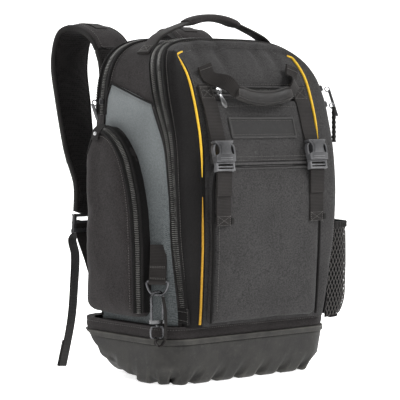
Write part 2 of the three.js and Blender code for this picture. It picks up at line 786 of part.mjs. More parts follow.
add('top_grip', grip(topGrip), rubber);

// Height of the body's outline at a half width
function outlineZ(x) {
  const half = outline(frontBottom, 7, 24);
  const next = half.findIndex((p) => p.z > archStart + 20 && p.x < x);
  const [low, high] = [half[next - 1], half[next]];
  return low.z + ((high.z - low.z) * (low.x - x)) / (low.x - high.x);
}

// Zipped side pocket on the left
const sideFace = (z) => outlineX(z) + gap + panelThick;
const sideForm = {
  half: sidePocketHalfWidth,
  bottom: sidePocketBottom,
  top: sidePocketTop,
  lower: 16,
  upper: 46,
};
const leftPlace = (u, z, lift) => [-(sideFace(z) + lift), sidePocketMid + u, z];
const sideRoll = 14;
const sideSolid = (grow) => puffed(sideForm, padRows(sidePocketLift, sideRoll, grow, -12), leftPlace);
add('side_pocket', cup(sideForm, sidePocketLift, sideRoll, leftPlace, -12).subtract(onSide), clothBlack);
function sidePocketZip() {
  const [near, far] = [sideFace(230) + 3, sideFace(230) + 11];
  const around = slab([-far, -near], [-200, sidePocketMid - 30], [sidePocketBottom + 14, 400]);
  const over = slab([-far, -near], [-200, sidePocketMid + 44], [sidePocketTop - 60, 400]);
  const band = sideSolid(gap + zipThick).subtract(sideSolid(gap)).intersect(around.add(over));
  return band.subtract(onSide);
}
add('side_pocket_zip', sidePocketZip(), zipTape);

// Mesh bottle pocket on the right, pierced with a coarse net, and its elastic hem
const rightPlace = (u, z, lift) => [sideFace(z) + lift, meshMid + u, z];
const meshForm = { half: meshHalfWidth, bottom: meshBottom, top: meshTop + 60, lower: 22, upper: 8 };
const meshRoll = meshLift * 0.8;
const clearOfBag = onSide.add(frontRoom(gap + zipThick + gap));
const meshDeep = -30;
function netHoles() {
  const holes = [];
  const pitchY = holeWidth + 3.4;
  const pitchZ = holeHeight + 3.6;
  for (let row = 0; row < 5; row++) {
    const z = meshBottom + 26 + row * pitchZ;
    for (let column = -4; column <= 4; column++) {
      const y = meshMid + (column + (row % 2) * 0.5 - 0.25) * pitchY;
      const diamond = [[y - holeWidth / 2, z], [y, z + holeHeight / 2], [y + holeWidth / 2, z],
        [y, z - holeHeight / 2]];
      holes.push(prism(diamond, 'x', sideFace(z) + 8, sideFace(z) + meshLift + 20));
    }
  }
  return holes;
}
function meshPocket() {
  const below = slab([100, 300], [-200, 100], [meshBottom - 5, meshTop]);
  let net = cup(meshForm, meshLift, meshRoll, rightPlace, meshDeep, meshWall).intersect(below);
  net = net.subtract(clearOfBag);
  for (const hole of netHoles()) net = net.subtract(hole);
  return net;
}
add('mesh_pocket', meshPocket(), clothMesh);
function meshHem() {
  const ring = slab([100, 300], [-200, 100], [meshTop + gap, meshTop + gap + hemHeight]);
  const hem = cup(meshForm, meshLift + 1, meshRoll, rightPlace, meshDeep, hemThick);
  return hem.intersect(ring).subtract(clearOfBag);
}
add('mesh_hem', meshHem(), clothBlack);

// Shoulder straps, their adjusters, anchors and free ends
function strapRows(side, grow = 0) {
  return strapRoute.map(({ out, back, up, width }) => ({
    at: [side * bodyHalfWidth * out, backReach + strapReach * back, bodyTop * up],
    across: [1, -side * 0.1, 0],
    width: strapWidth * width + 2 * grow,
    thick: strapThick + 2 * grow,
  }));
}
const strapSteps = 24;
const strapEnd = strapRoute[strapRoute.length - 1];
const strapPrior = strapRoute[strapRoute.length - 2];
const placeOnStrap = ({ out, back, up }, side = 1) => new THREE.Vector3(
  side * bodyHalfWidth * out, backReach + strapReach * back, bodyTop * up);
const hang = placeOnStrap(strapEnd).sub(placeOnStrap(strapPrior)).normalize();
const adjusterHeight = 25;
const adjusterWidth = 36;
const adjusterThick = 5;
function onHang(side, distance, behind = 0) {
  const end = placeOnStrap(strapEnd).addScaledVector(hang, distance);
  return [side * end.x, end.y + behind, end.z];
}
function hangBox(side, from, to, width, thick, slide = 0) {
  const row = (distance) => ({ at: onHang(side, distance, slide), across: [1, 0, 0], width, thick });
  return ribbon([row(from), row(to)], 1);
}
const tailRoute = [
  { out: 0.876, back: 0.39, up: 0.4 },
  { out: 0.892, back: 0.36, up: 0.35 },
  { out: 0.946, back: 0.32, up: 0.272 },
  { out: 0.982, back: 0.31, up: 0.161 },
  { out: 1.054, back: 0.36, up: 0.018 },
];
const anchorRoute = [
  { out: 0.822, back: 0.2, up: 0.338 },
  { out: 0.837, back: 0.07, up: 0.29 },
  { out: 0.843, back: -0.07, up: 0.26 },
];
for (const [word, side] of [['left', -1], ['right', 1]]) {
  add(`shoulder_strap_${word}`, ribbon(strapRows(side), strapSteps, true), clothBlack);
  let frame = hangBox(side, 0.6, adjusterHeight, adjusterWidth, adjusterThick);
  for (const from of [5, 14]) {
    frame = frame.subtract(hangBox(side, from, from + 5, adjusterWidth - 9, adjusterThick * 3));
  }
  add(`adjuster_${word}`, frame, plastic);
  const start = onHang(side, adjusterHeight + 0.7);
  const anchorRows = [
    start,
    ...anchorRoute.map((row) => placeOnStrap(row, side).toArray()),
  ].map((at) => ({ at, across: [1, 0, 0], width: webWidth, thick: webThick }));
  const room = hangBox(side, 0.3, adjusterHeight + gap, adjusterWidth + 2, adjusterThick + 2 * gap);
  const anchor = ribbon(anchorRows, 8).subtract(mainSolid(gap)).subtract(room);
  add(`strap_anchor_${word}`, anchor, webbing);
  const tailRows = tailRoute.map((row) => ({
    at: placeOnStrap(row, side).toArray(),
    across: [0.9, -side * 0.4, 0],
    width: webWidth,
    thick: webThick,
  }));
  tailRows.unshift({ ...tailRows[0], at: onHang(side, adjusterHeight + 0.9, 5), across: [1, 0, 0] });
  add(`strap_tail_${word}`, ribbon(tailRows, 14).subtract(room), webbing);
}

// Sternum strap across both shoulder straps, with its buckle
const sternumWidth = 20;
const sternumUp = 0.642;
const sternumHalf = 15;
const sternumAt = (out, back) => placeOnStrap({ out, back, up: sternumUp }).toArray();
for (const [word, side] of [['left', -1], ['right', 1]]) {
  const rows = [
    { at: sternumAt(side * 0.843, 0.662), across: [0, 0.32, 1] },
    { at: sternumAt(side * 0.711, 0.688), across: [0, 0.32, 1] },
    { at: sternumAt(side * 0.42, 0.8), across: [0, 0.1, 1] },
    { at: sternumAt(side * (sternumHalf + gap) / bodyHalfWidth, 0.81), across: [0, 0, 1] },
  ].map((row) => ({ ...row, width: sternumWidth, thick: webThick }));
  const clear = ribbon(strapRows(side, gap), strapSteps, true);
  add(`sternum_strap_${word}`, ribbon(rows, 8).subtract(clear), webbing);
}
add('sternum_buckle', box(sternumHalf * 2, 8, 24, sternumAt(0, 0.81)), plastic);

// Ring, snap hook and tape at the left front corner, in a frame turned outwards
const cornerHang = new THREE.Group();
const cornerAt = [-bodyHalfWidth - 4, -frontReach * 0.68, 0];
const cornerTurn = -0.95;
cornerHang.position.set(...cornerAt);
cornerHang.rotation.z = cornerTurn;
pack.add(cornerHang);
const tabTop = 204;
const ringTop = 151.5;
const ringLow = 133.5;
const tabRows = [[0, 4.4, tabTop], [0, 2.2, (tabTop + ringTop) / 2], [0, -1.6, ringTop + wireRadius + 3 * gap]]
  .map((at) => ({ at, across: [1, 0, 0], width: webWidth, thick: webThick }));
const tab = ribbon(tabRows, 4).rotate([0, 0, (cornerTurn * 180) / PI]).translate(cornerAt);
add('ring_tab', tab.subtract(onSide).subtract(frontRoom(gap + zipThick + gap)), webbing);
const ringY = -1.8;
const ringPoints = [[-ringHalfWidth, ringTop], [0, ringTop], [ringHalfWidth, ringTop],
  [ringHalfWidth - 1, ringTop - 8], [ringHalfWidth * 0.55, ringLow + 1.4], [0, ringLow],
  [-ringHalfWidth * 0.55, ringLow + 1.4], [-ringHalfWidth + 1, ringTop - 8]];
add('d_ring', wire(ringPoints.map(([x, z]) => [x, ringY, z]), wireRadius, 20, true), gunmetal, cornerHang);

// Snap hook: its spine, top and nose in one, with a sprung gate and a swivelling loop
const hookFrame = new THREE.Group();
hookFrame.position.set(0, ringY, ringLow + 2 * wireRadius + 2 * gap);
hookFrame.rotation.z = 0.6;
cornerHang.add(hookFrame);
const [hookX, hookLow, noseLow] = [hookWidth / 2, -hookHeight, -9];
const pivotUp = 2;
const gateRadius = 1.3;
const hookWire = [[hookX, 0, noseLow], [hookX, 0, -5], [hookX * 0.6, 0, -1], [0, 0, 0.2], [-hookX * 0.6, 0, -1],
  [-hookX, 0, -6], [-hookX, 0, hookLow / 2], [-hookX, 0, hookLow - 1]];
const hookFoot = box(hookWidth + 5, 6, 5, [0, 0, hookLow - 2.5]);
const hookSolid = wire(hookWire, 2.1, 16).add(hookFoot);
add('snap_hook', hookSolid, gunmetal, hookFrame);
const gateTop = noseLow - 0.5;
const gateLow = hookLow + pivotUp - 1.2;
const gateGeometry = new THREE.CylinderGeometry(gateRadius, gateRadius, gateTop - gateLow, 8);
gateGeometry.rotateX(PI / 2);
add('hook_gate', fromGeometry(gateGeometry, [hookX, 0, (gateTop + gateLow) / 2]), gunmetal, hookFrame);
const swivelTop = hookLow - 5 - gap;
const loopPoints = [[0, swivelTop - 4], [8, swivelTop - 5], [8, swivelTop - 19], [0, swivelTop - 20],
  [-8, swivelTop - 19], [-8, swivelTop - 5]];
const loopWire = wire(loopPoints.map(([x, z]) => [x, 0, z]), 1.4, 16, true, 5);
const stem = fromGeometry(new THREE.SphereGeometry(2.6, 8, 5), [0, 0, swivelTop - 2.7]);
add('hook_loop', loopWire.add(stem), gunmetal, hookFrame);

// Tape from the ring down and up again to the hook's loop
const loopLow = ringLow + 2 * wireRadius + 2 * gap + swivelTop - 20;
const tapeLow = 62;
const tapeRows = [[9, -4.5, ringLow - wireRadius - 0.4], [13, -6, 110], [14, -8, 86], [12, -9, tapeLow + 6],
  [6, -9, tapeLow], [0, -7, tapeLow + 4], [0, -2.2, loopLow - 1.9]]
  .map((at) => ({ at, across: [0.5, -0.85, 0], width: 11, thick: 1.6 }));
add('tape_strap', ribbon(tapeRows, 22), webbing, cornerHang);

// Zip sliders and pulls
function pull(width, length, thick) {
  const half = width / 2;
  const shape = [[-half * 0.45, 0], [half * 0.45, 0], [half, -length * 0.75], [half * 0.6, -length],
    [-half * 0.6, -length], [-half, -length * 0.75]];
  return prism(shape, 'y', -thick, 0);
}
const pullTop = slitZ - slitHeight / 2 - 1;
const topPull = pull(9, 20, 2.2).rotate([0, -14, 0]);
add('top_pocket_pull', leaned(topPull, -70, pullTop, pullTop - 20, 2.4), silver);

export default pack;
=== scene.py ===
import math
import bpy
import bmesh
import numpy as np
from mathutils import Matrix, Vector, noise


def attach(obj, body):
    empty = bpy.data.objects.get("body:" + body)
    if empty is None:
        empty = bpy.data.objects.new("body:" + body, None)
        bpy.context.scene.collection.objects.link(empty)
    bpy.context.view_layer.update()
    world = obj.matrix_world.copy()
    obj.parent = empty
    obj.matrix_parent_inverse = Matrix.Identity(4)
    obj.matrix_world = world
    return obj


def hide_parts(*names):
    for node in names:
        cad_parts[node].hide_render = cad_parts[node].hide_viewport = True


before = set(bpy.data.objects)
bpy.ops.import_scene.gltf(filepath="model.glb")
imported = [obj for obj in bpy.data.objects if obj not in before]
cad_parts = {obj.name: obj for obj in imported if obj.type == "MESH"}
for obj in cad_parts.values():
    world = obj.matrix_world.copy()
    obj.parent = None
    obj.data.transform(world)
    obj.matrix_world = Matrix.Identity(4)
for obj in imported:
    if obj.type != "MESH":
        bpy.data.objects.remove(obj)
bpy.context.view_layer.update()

PI = math.pi
MM = 0.001

# Mesh code works in millimetres. C is a path, N its outward directions, P points and F faces; s is the
# side, -1 on the left and 1 on the right, and z a height above the floor.

# Sizes
BODY_TOP, HALF, REACH, BACK = 497.0, 166.0, 121.0, 80.0
ARCH0, ARCH_POWER, RIDGE_DROP, PANEL_HALF = 364.0, 4.0, 14.0, 116.0
BASE_HALF, BASE_FRONT, BASE_BACK, BASE_CORNER = 168.0, 108.0, 102.0, 46.0
BASE_HEIGHT, LUG_PITCH, BAND_TOP = 69.0, 44.0, 86.3
# body's form: height, half width, seam, front and rear, each as a share of its size above
FORM = np.array([
    (.026, .85, .681, .85, .84), (.07, .9, .753, .9, .9), (.14, .945, .823, .96, .97),
    (.23, .965, .859, .99, 1), (.4, .985, .854, 1.02, 1), (.55, .985, .845, 1.01, 1),
    (.66, .97, .777, .99, 1), (.72, .955, .702, .955, 1), (.81, .945, .498, .87, 1),
    (.89, .94, .366, .765, 1), (.935, .94, .264, .665, 1), (.972, .94, .162, .525, 1),
    (1, .94, .102, .41, 1)])
# cut of the front corners at shares of the height
CORNER = np.array([(.14, 24), (.23, 20), (.42, 7), (.6, 2), (.72, 0)])
# shares to the side and forward, from the seam to the front panel's edge
ROLL = np.array([(0, 0), (.03, .5), (.08, .86), (.22, 1), (.55, 1.02), (1, 1)])
# rear roll: inset and depth, then the same at the foot
REAR = np.array([(24, 0, 46, 0), (11, 3, 26, 5), (3, 10, 10, 17), (0, 24, 0, 42)])
POCKET_TOP, POCKET_LIFT, FLAP_TOP, FLAP_LIFT = 315.0, 14.0, 408.0, 12.0
FLAP_BOTTOM = POCKET_TOP + 2
SLIT = FLAP_TOP + 14
STRAP_X, BUCKLE_TOP, BUCKLE_H, BUCKLE_W, BUCKLE_T, LADDER_H = 94.0, 350.0, 30.0, 42.0, 10.0, 13.0
BUCKLE_LOW = BUCKLE_TOP - BUCKLE_H
WEB_OFF, BUCKLE_OFF = 1.8, 5.2
MESH_Y, MESH_HALF, MESH_LIFT, MESH_LOW, MESH_TOP = -34, 66, 56, 79, 217
SHOULDER_W, SHOULDER_T, STRAP_REACH, WEB_W = 73, 11.6, 118.0, 25
CROWN = 530.5
CAMERA_TURN, CAMERA_PITCH, CAMERA_ROLL = (math.radians(v) for v in (42.38, 3.26, .55))
CAMERA_AWAY, CAMERA_ASIDE, CAMERA_UP = 2896, 8.3, 423
SENSOR, FOCAL_SHARE = 36, 4.825
FLOOR_REACH, FLOOR_WIDE, CURVE_START, CURVE_R = 40, 40, 3.4, 1.5
SIDES = (("left", -1), ("right", 1))
BOX_FACES = [(0, 1, 3, 2), (4, 6, 7, 5), (0, 4, 5, 1), (2, 3, 7, 6), (0, 2, 6, 4), (1, 5, 7, 3)]


def soft_table(table, column, t):
    """Value of a table's column at t, with its corners softened."""
    t = np.asarray(t, float)
    shifts = (-.022, -.011, 0, .011, .022)
    return sum(np.interp(t + s, table[:, 0], table[:, column]) for s in shifts) / len(shifts)


def form_value(column, z):
    return soft_table(FORM, column, np.asarray(z, float) / BODY_TOP)


def seam_y(z):
    return -REACH * form_value(2, z)


def front_y(z):
    return -REACH * form_value(3, z)


def rear_y(z):
    return BACK * form_value(4, z)


def corner_cut(z):
    return soft_table(CORNER, 1, np.asarray(z, float) / BODY_TOP)


def outline_x(z):
    """Half width of the body at a height."""
    z = np.asarray(z, float)
    arch = np.clip((z - ARCH0) / (BODY_TOP - ARCH0), 0, 1)
    return HALF * soft_table(FORM, 1, z / BODY_TOP) * (1 - arch ** ARCH_POWER) ** (1 / ARCH_POWER)


def step01(x, a, b):
    """A smooth rise from 0 at a to 1 at b."""
    t = np.clip((np.asarray(x, float) - a) / (b - a), 0, 1)
    return t * t * (3 - 2 * t)


def outline(bottom, side=64, arch=56):
    """Right half of the body's outline from the bottom up: points and outward directions."""
    zs = list(np.linspace(bottom, ARCH0, side, endpoint=False))
    for i in range(arch + 1):
        angle = (i / (arch + 1.2)) * (PI / 2)
        zs.append(ARCH0 + (BODY_TOP - ARCH0) * math.sin(angle) ** (2 / ARCH_POWER))
    z = np.array(zs)
    x = outline_x(z)
    dx, dz = np.gradient(x), np.gradient(z)
    length = np.hypot(dx, dz)
    return x, z, dz / length, -dx / length


# Meshes
def shade_smooth(me, sharp=None):
    me.polygons.foreach_set("use_smooth", np.ones(len(me.polygons), bool))
    if sharp is not None:
        me.set_sharp_from_angle(angle=math.radians(sharp))


def piece(name, points, faces, mats, ids=None, uv=None, body="pack", sharp=38, replaces=(), slot=None):
    """A visible piece from points in mm and faces, riding on a body."""
    me = bpy.data.meshes.new(name)
    pts = np.asarray(points, float) * MM
    me.from_pydata(pts.tolist(), [], [tuple(int(i) for i in f) for f in faces])
    me.validate()
    me.update()
    for m in (mats if isinstance(mats, (list, tuple)) else [mats]):
        me.materials.append(m)
    if ids is not None and len(ids) == len(me.polygons):
        me.polygons.foreach_set("material_index", np.asarray(ids, np.int32))
    if uv is not None:
        layer = me.uv_layers.new(name="run")
        loops = np.empty(len(me.loops), np.int32)
        me.loops.foreach_get("vertex_index", loops)
        layer.data.foreach_set("uv", (np.asarray(uv, float)[loops] * MM).ravel())
    bm = bmesh.new()
    bm.from_mesh(me)
    bmesh.ops.recalc_face_normals(bm, faces=bm.faces)
    bm.to_mesh(me)
    bm.free()
    shade_smooth(me, sharp)
    ob = bpy.data.objects.new(name, me)
    bpy.context.scene.collection.objects.link(ob)
    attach(ob, body)
    if replaces:
        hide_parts(*replaces)
    return ob


def triangulate_wide(ob):
    """Splits faces of more than four corners into triangles."""
    bm = bmesh.new()
    bm.from_mesh(ob.data)
    bmesh.ops.triangulate(bm, faces=[f for f in bm.faces if len(f.verts) > 4])
    bm.to_mesh(ob.data)
    bm.free()


def grid_faces(n, m, wrap=False):
    """Faces of a grid of n rows of m points."""
    return [(i * m + j, i * m + (j + 1) % m, (i + 1) * m + (j + 1) % m, (i + 1) * m + j)
            for i in range(n - 1) for j in range(m if wrap else m - 1)]


def merge(parts):
    """Joins (points, faces) lists into one."""
    points, faces, base = [], [], 0
    for p, f in parts:
        p = np.asarray(p, float).reshape(-1, 3)
        points.append(p)
        faces.extend(tuple(int(i) + base for i in face) for face in f)
        base += len(p)
    return np.concatenate(points), faces


def catmull(rows, steps, closed=False):
    """Centripetal Catmull-Rom curve through rows, as steps + 1 points."""
    P = np.asarray(rows, float)
    n = len(P)
    out = []
    for s in range(steps + (0 if closed else 1)):
        p = (n - (0 if closed else 1)) * s / steps
        k = min(int(p), n - 1 if closed else n - 2)
        w = p - k
        p1, p2 = P[k % n], P[(k + 1) % n]
        p0 = P[(k - 1) % n] if closed or k > 0 else 2 * P[0] - P[1]
        p3 = P[(k + 2) % n] if closed or k + 2 < n else 2 * P[-1] - P[-2]
        d = [max(np.linalg.norm(b - a) ** .5, 1e-4) for a, b in ((p0, p1), (p1, p2), (p2, p3))]
        t1 = ((p1 - p0) / d[0] - (p2 - p0) / (d[0] + d[1]) + (p2 - p1) / d[1]) * d[1]
        t2 = ((p2 - p1) / d[1] - (p3 - p1) / (d[1] + d[2]) + (p3 - p2) / d[2]) * d[1]
        a, b = 2 * p1 - 2 * p2 + t1 + t2, -3 * p1 + 3 * p2 - 2 * t1 - t2
        out.append(((a * w + b) * w + t1) * w + p1)
    return np.array(out)


def unit(v):
    v = np.asarray(v, float)
    return v / np.maximum(np.linalg.norm(v, axis=-1, keepdims=True), 1e-9)


def tangents(C, closed=False):
    if closed:
        return unit(np.roll(C, -1, 0) - np.roll(C, 1, 0))
    return unit(np.gradient(C, axis=0))


def lengths(C):
    """Distance along a path at each of its points."""
    return np.concatenate([[0], np.cumsum(np.linalg.norm(np.diff(C, axis=0), axis=1))])


def resample(C, N, pitch):
    """The same path with points about pitch apart."""
    s = lengths(C)
    count = max(2, int(round(s[-1] / pitch)) + 1)
    t = np.linspace(0, s[-1], count)
    C2 = np.stack([np.interp(t, s, C[:, k]) for k in range(3)], -1)
    N2 = unit(np.stack([np.interp(t, s, N[:, k]) for k in range(3)], -1))
    return C2, N2


def strip(C, N, section, closed=False, scale=None, caps=True):
    """A closed section (across, lift) swept along C; N points outwards. Gives points, faces, uv."""
    C, N = np.asarray(C, float), np.asarray(N, float)
    T = tangents(C, closed)
    N = unit(N - (N * T).sum(-1, keepdims=True) * T)
    B = np.cross(T, N)
    sec = np.asarray(section, float)
    sc = np.ones(len(C)) if scale is None else np.asarray(scale, float)
    P = C[:, None] + B[:, None] * (sec[None, :, :1] * sc[:, None, None]) \
        + N[:, None] * (sec[None, :, 1:] * sc[:, None, None])
    n, m = len(C), len(sec)
    faces = grid_faces(n, m, wrap=True)
    if closed:
        faces += [((n - 1) * m + j, (n - 1) * m + (j + 1) % m, (j + 1) % m, j) for j in range(m)]
    elif caps:
        faces += [tuple(range(m))[::-1], tuple(range((n - 1) * m, n * m))]
    run = lengths(C)
    around = np.concatenate([[0], np.cumsum(np.linalg.norm(np.diff(sec, axis=0), axis=1))])
    uv = np.stack(np.meshgrid(run, around, indexing="ij"), -1)[..., ::-1].reshape(-1, 2)
    return P.reshape(-1, 3), faces, uv


def ribbon_section(w, t):
    """A flat band's section with rounded edges."""
    w, t = w / 2, t / 2
    top = [(-w, -t * .2), (-w + t * .5, t)]
    top += [(u, t) for u in np.linspace(-w + 2, w - 2, 5)]
    top += [(w - t * .5, t), (w, -t * .2)]
    low = [(w - t * .5, -t), (-w + t * .5, -t)]
    return top + low


def circle(r, sides=10, flat=1.0):
    return [(r * math.cos(a), r * flat * math.sin(a))
            for a in (2 * PI * i / sides for i in range(sides))]


def rows_path(rows, steps, facing=None):
    """Centres and outward directions of a band given as rows (at, across), turned towards facing."""
    C = catmull([r[0] for r in rows], steps)
    A = np.array([r[1] for r in rows], float)
    t = np.linspace(0, len(rows) - 1, steps + 1)
    A = np.stack([np.interp(t, range(len(rows)), A[:, k]) for k in range(3)], -1)
    N = unit(np.cross(tangents(C), A))
    if facing is not None:
        N[(N * facing).sum(-1) < 0] *= -1
    return C, N


def teeth(C, N, width, pitch=2.0, radius=.55, lift=0.0):
    """The coil of a zip: small arched bars across the path."""
    C, N = resample(C, N, pitch)
    T = tangents(C)
    B = np.cross(T, N)
    ring = np.array(circle(radius, 6))
    arch = [(-1, -.5), (-.72, .55), (0, .75), (.72, .55), (1, -.5)]
    parts = []
    for c, n, t, b in zip(C, N, T, B):
        pts = []
        for u, v in arch:
            mid = c + b * (u * width / 2) + n * (lift + v * radius * 1.2)
            pts += [mid + t * (p[0] * .75) + n * p[1] * .8 for p in ring]
        parts.append((pts, grid_faces(5, 6, wrap=True) + [(5, 4, 3, 2, 1, 0), (24, 25, 26, 27, 28, 29)]))
    return merge(parts)


def stitches(C, N, pitch=3.6, length=2.5, radius=.36, lift=.12):
    """A row of thread dashes laid along the path."""
    C, N = resample(C, N, pitch)
    T = tangents(C)
    B = np.cross(T, N)
    parts = []
    for c, n, t, b in zip(C, N, T, B):
        pts = [c - t * length / 2 + n * (lift - .25)]
        for s, k in ((-.3, .9), (.3, .9)):
            pts += [c + t * s * length + b * (x * k) + n * (lift + y * k)
                    for x, y in circle(radius, 5)]
        pts.append(c + t * length / 2 + n * (lift - .25))
        f = [(0, 1 + (j + 1) % 5, 1 + j) for j in range(5)]
        f += [(1 + j, 1 + (j + 1) % 5, 6 + (j + 1) % 5, 6 + j) for j in range(5)]
        f += [(11, 6 + j, 6 + (j + 1) % 5) for j in range(5)]
        parts.append((pts, f))
    return merge(parts)


def wrinkle(P, size, amount, seed=0, stretch=(1, 1, 1)):
    """Smooth noise at points in mm, for folds in cloth."""
    k = np.asarray(stretch, float) / size
    shift = Vector((seed * 7.3, seed * 3.1, seed * 5.7))
    return amount * np.array([noise.noise(Vector(p * k) + shift) for p in np.asarray(P)])


def move_along_normals(ob, offset):
    """Moves each vertex of a mesh along its own normal, by offset(points in mm, normals)."""
    me = ob.data
    co = np.empty(len(me.vertices) * 3)
    me.vertices.foreach_get("co", co)
    P = co.reshape(-1, 3) / MM
    N = np.array([v.normal[:] for v in me.vertices])
    P = P + N * np.asarray(offset(P, N)).reshape(-1, 1)
    me.vertices.foreach_set("co", (P * MM).ravel())
    me.update()


# Materials
def build(name):
    """A new material with its nodes, links and main shader."""
    m = bpy.data.materials.new(name)
    m.use_nodes = True
    tree = m.node_tree
    return m, tree.nodes, tree.links, tree.nodes["Principled BSDF"]


def rgb(value):
    """A linear colour from one in 0 to 255."""
    return tuple(((c / 255) / 12.92 if c / 255 <= .04045 else ((c / 255 + .055) / 1.055) ** 2.4)
                 for c in value) + (1,)


def blend_colour(nodes, links, factor, a, b):
    mix = nodes.new("ShaderNodeMix")
    mix.data_type = "RGBA"
    for socket, value in ((mix.inputs[0], factor), (mix.inputs[6], a), (mix.inputs[7], b)):
        if hasattr(value, "is_output"):
            links.new(value, socket)
        else:
            socket.default_value = value
    return mix.outputs[2]


def noise_node(nodes, links, coords, scale, detail=2.0, rough=.5, low=.35, high=.65):
    tex = nodes.new("ShaderNodeTexNoise")
    tex.inputs["Scale"].default_value = scale
    tex.inputs["Detail"].default_value = detail
    tex.inputs["Roughness"].default_value = rough
    links.new(coords, tex.inputs["Vector"])
    span = nodes.new("ShaderNodeMapRange")
    span.inputs[1].default_value, span.inputs[2].default_value = low, high
    links.new(tex.outputs["Fac"], span.inputs[0])
    return span.outputs[0]


def maths(nodes, links, op, a, b=0.0):
    node = nodes.new("ShaderNodeMath")
    node.operation = op
    for i, value in enumerate((a, b)):
        if hasattr(value, "is_output"):
            links.new(value, node.inputs[i])
        else:
            node.inputs[i].default_value = value
    return node.outputs[0]


def weave_height(nodes, links, coords, pitch):
    """Over-and-under threads: products of sines along the height and round the body."""
    split = nodes.new("ShaderNodeSeparateXYZ")
    links.new(coords, split.inputs[0])
    k = 2 * PI / pitch
    total = maths(nodes, links, "ADD", split.outputs[0], split.outputs[1])
    around = maths(nodes, links, "SINE", maths(nodes, links, "MULTIPLY", total, k))
    up = maths(nodes, links, "SINE", maths(nodes, links, "MULTIPLY", split.outputs[2], k))
    product = maths(nodes, links, "MULTIPLY", around, up)
    return maths(nodes, links, "ADD", maths(nodes, links, "MULTIPLY", product, .5), .5)


def bump_chain(nodes, links, bsdf, layers):
    normal = None
    for height, strength, distance in layers:
        bump = nodes.new("ShaderNodeBump")
        bump.inputs["Strength"].default_value = strength
        bump.inputs["Distance"].default_value = distance
        links.new(height, bump.inputs["Height"])
        if normal is not None:
            links.new(normal, bump.inputs["Normal"])
        normal = bump.outputs["Normal"]
    links.new(normal, bsdf.inputs["Normal"])


def cloth(name, light, dark, weave=.0016, rough=.86, fold=.0016, grain=1.0, edge_lightening=.25, sheen=.04, top=None):
    """Woven cloth: thread colours, soft creases, dust and rubbed edges; with top, painted light from above
    makes it lighter towards the top.
    """
    m, nodes, links, bsdf = build(name)
    co = nodes.new("ShaderNodeTexCoord").outputs["Object"]
    threads = weave_height(nodes, links, co, weave)
    fine = noise_node(nodes, links, co, 480, 3, .7, .35, .65)
    broad = noise_node(nodes, links, co, 14, 3, .55, .3, .7)
    base = blend_colour(nodes, links, fine, rgb(dark), rgb(light))
    # top: a lighter colour blended in by height, painted light falling from above.
    if top is not None:
        split = nodes.new("ShaderNodeSeparateXYZ")
        links.new(co, split.inputs[0])
        rise = nodes.new("ShaderNodeMapRange")
        rise.inputs[1].default_value, rise.inputs[2].default_value = top[1], top[2]
        links.new(split.outputs[2], rise.inputs[0])
        base = blend_colour(nodes, links, rise.outputs[0], base,
                            blend_colour(nodes, links, fine, rgb(top[0]), rgb([c + 14 for c in top[0]])))
    shade = blend_colour(nodes, links, maths(nodes, links, "MULTIPLY", broad, .22), base, (0, 0, 0, 1))
    thread_tone = blend_colour(nodes, links, maths(nodes, links, "MULTIPLY", threads, .28), shade,
                               rgb([min(255, c * 1.35 + 8) for c in light]))
    edge = nodes.new("ShaderNodeMapRange")
    geo = nodes.new("ShaderNodeNewGeometry")
    links.new(geo.outputs["Pointiness"], edge.inputs[0])
    edge.inputs[1].default_value, edge.inputs[2].default_value = .52, .62
    edge_mask = maths(nodes, links, "MULTIPLY", edge.outputs[0], edge_lightening)
    edge_lightened_colour = blend_colour(nodes, links, edge_mask, thread_tone, rgb([min(255, c * 1.5 + 22) for c in light]))
    links.new(edge_lightened_colour, bsdf.inputs["Base Color"])
    spread = nodes.new("ShaderNodeMapRange")
    links.new(broad, spread.inputs[0])
    spread.inputs[3].default_value, spread.inputs[4].default_value = rough - .07, min(1, rough + .08)
    links.new(spread.outputs[0], bsdf.inputs["Roughness"])
    bsdf.inputs["Sheen Weight"].default_value = sheen
    bsdf.inputs["Sheen Roughness"].default_value = .5
    bsdf.inputs["Specular IOR Level"].default_value = .12
    creases = noise_node(nodes, links, co, 38, 4, .55, .2, .8)
    bump_chain(nodes, links, bsdf,
               [(creases, .55, fold), (fine, .35 * grain, .0003), (threads, .6 * grain, .0003)])
    return m


def band_material(name, light, dark, rib=.0021, rough=.7):
    """Woven tape: cross ribs along its run, with lighter, rubbed ribs."""
    m, nodes, links, bsdf = build(name)
    tex = nodes.new("ShaderNodeTexCoord")
    uv = nodes.new("ShaderNodeUVMap")
    uv.uv_map = "run"
    split = nodes.new("ShaderNodeSeparateXYZ")
    links.new(uv.outputs[0], split.inputs[0])
    k = 2 * PI / rib
    across = maths(nodes, links, "MULTIPLY", split.outputs[0], 900)
    zig = maths(nodes, links, "ABSOLUTE", maths(nodes, links, "SINE", across))
    run = maths(nodes, links, "ADD", maths(nodes, links, "MULTIPLY", split.outputs[1], k), zig)
    ribs = maths(nodes, links, "ADD", maths(nodes, links, "MULTIPLY", maths(nodes, links, "SINE", run), .5),
                 .5)
    fine = noise_node(nodes, links, tex.outputs["Object"], 800, 2, .6)
    broad = noise_node(nodes, links, tex.outputs["Object"], 30, 3, .5)
    a = blend_colour(nodes, links, ribs, rgb(dark), rgb(light))
    b = blend_colour(nodes, links, maths(nodes, links, "MULTIPLY", fine, .35), a, rgb(dark))
    dust = rgb([min(255, v * 1.2 + 6) for v in light])
    c = blend_colour(nodes, links, maths(nodes, links, "MULTIPLY", broad, .3), b, dust)
    links.new(c, bsdf.inputs["Base Color"])
    bsdf.inputs["Roughness"].default_value = rough
    bsdf.inputs["Specular IOR Level"].default_value = .15
    bsdf.inputs["Sheen Weight"].default_value = .02
    bump_chain(nodes, links, bsdf, [(fine, .3, .0002), (ribs, .7, .0005)])
    return m


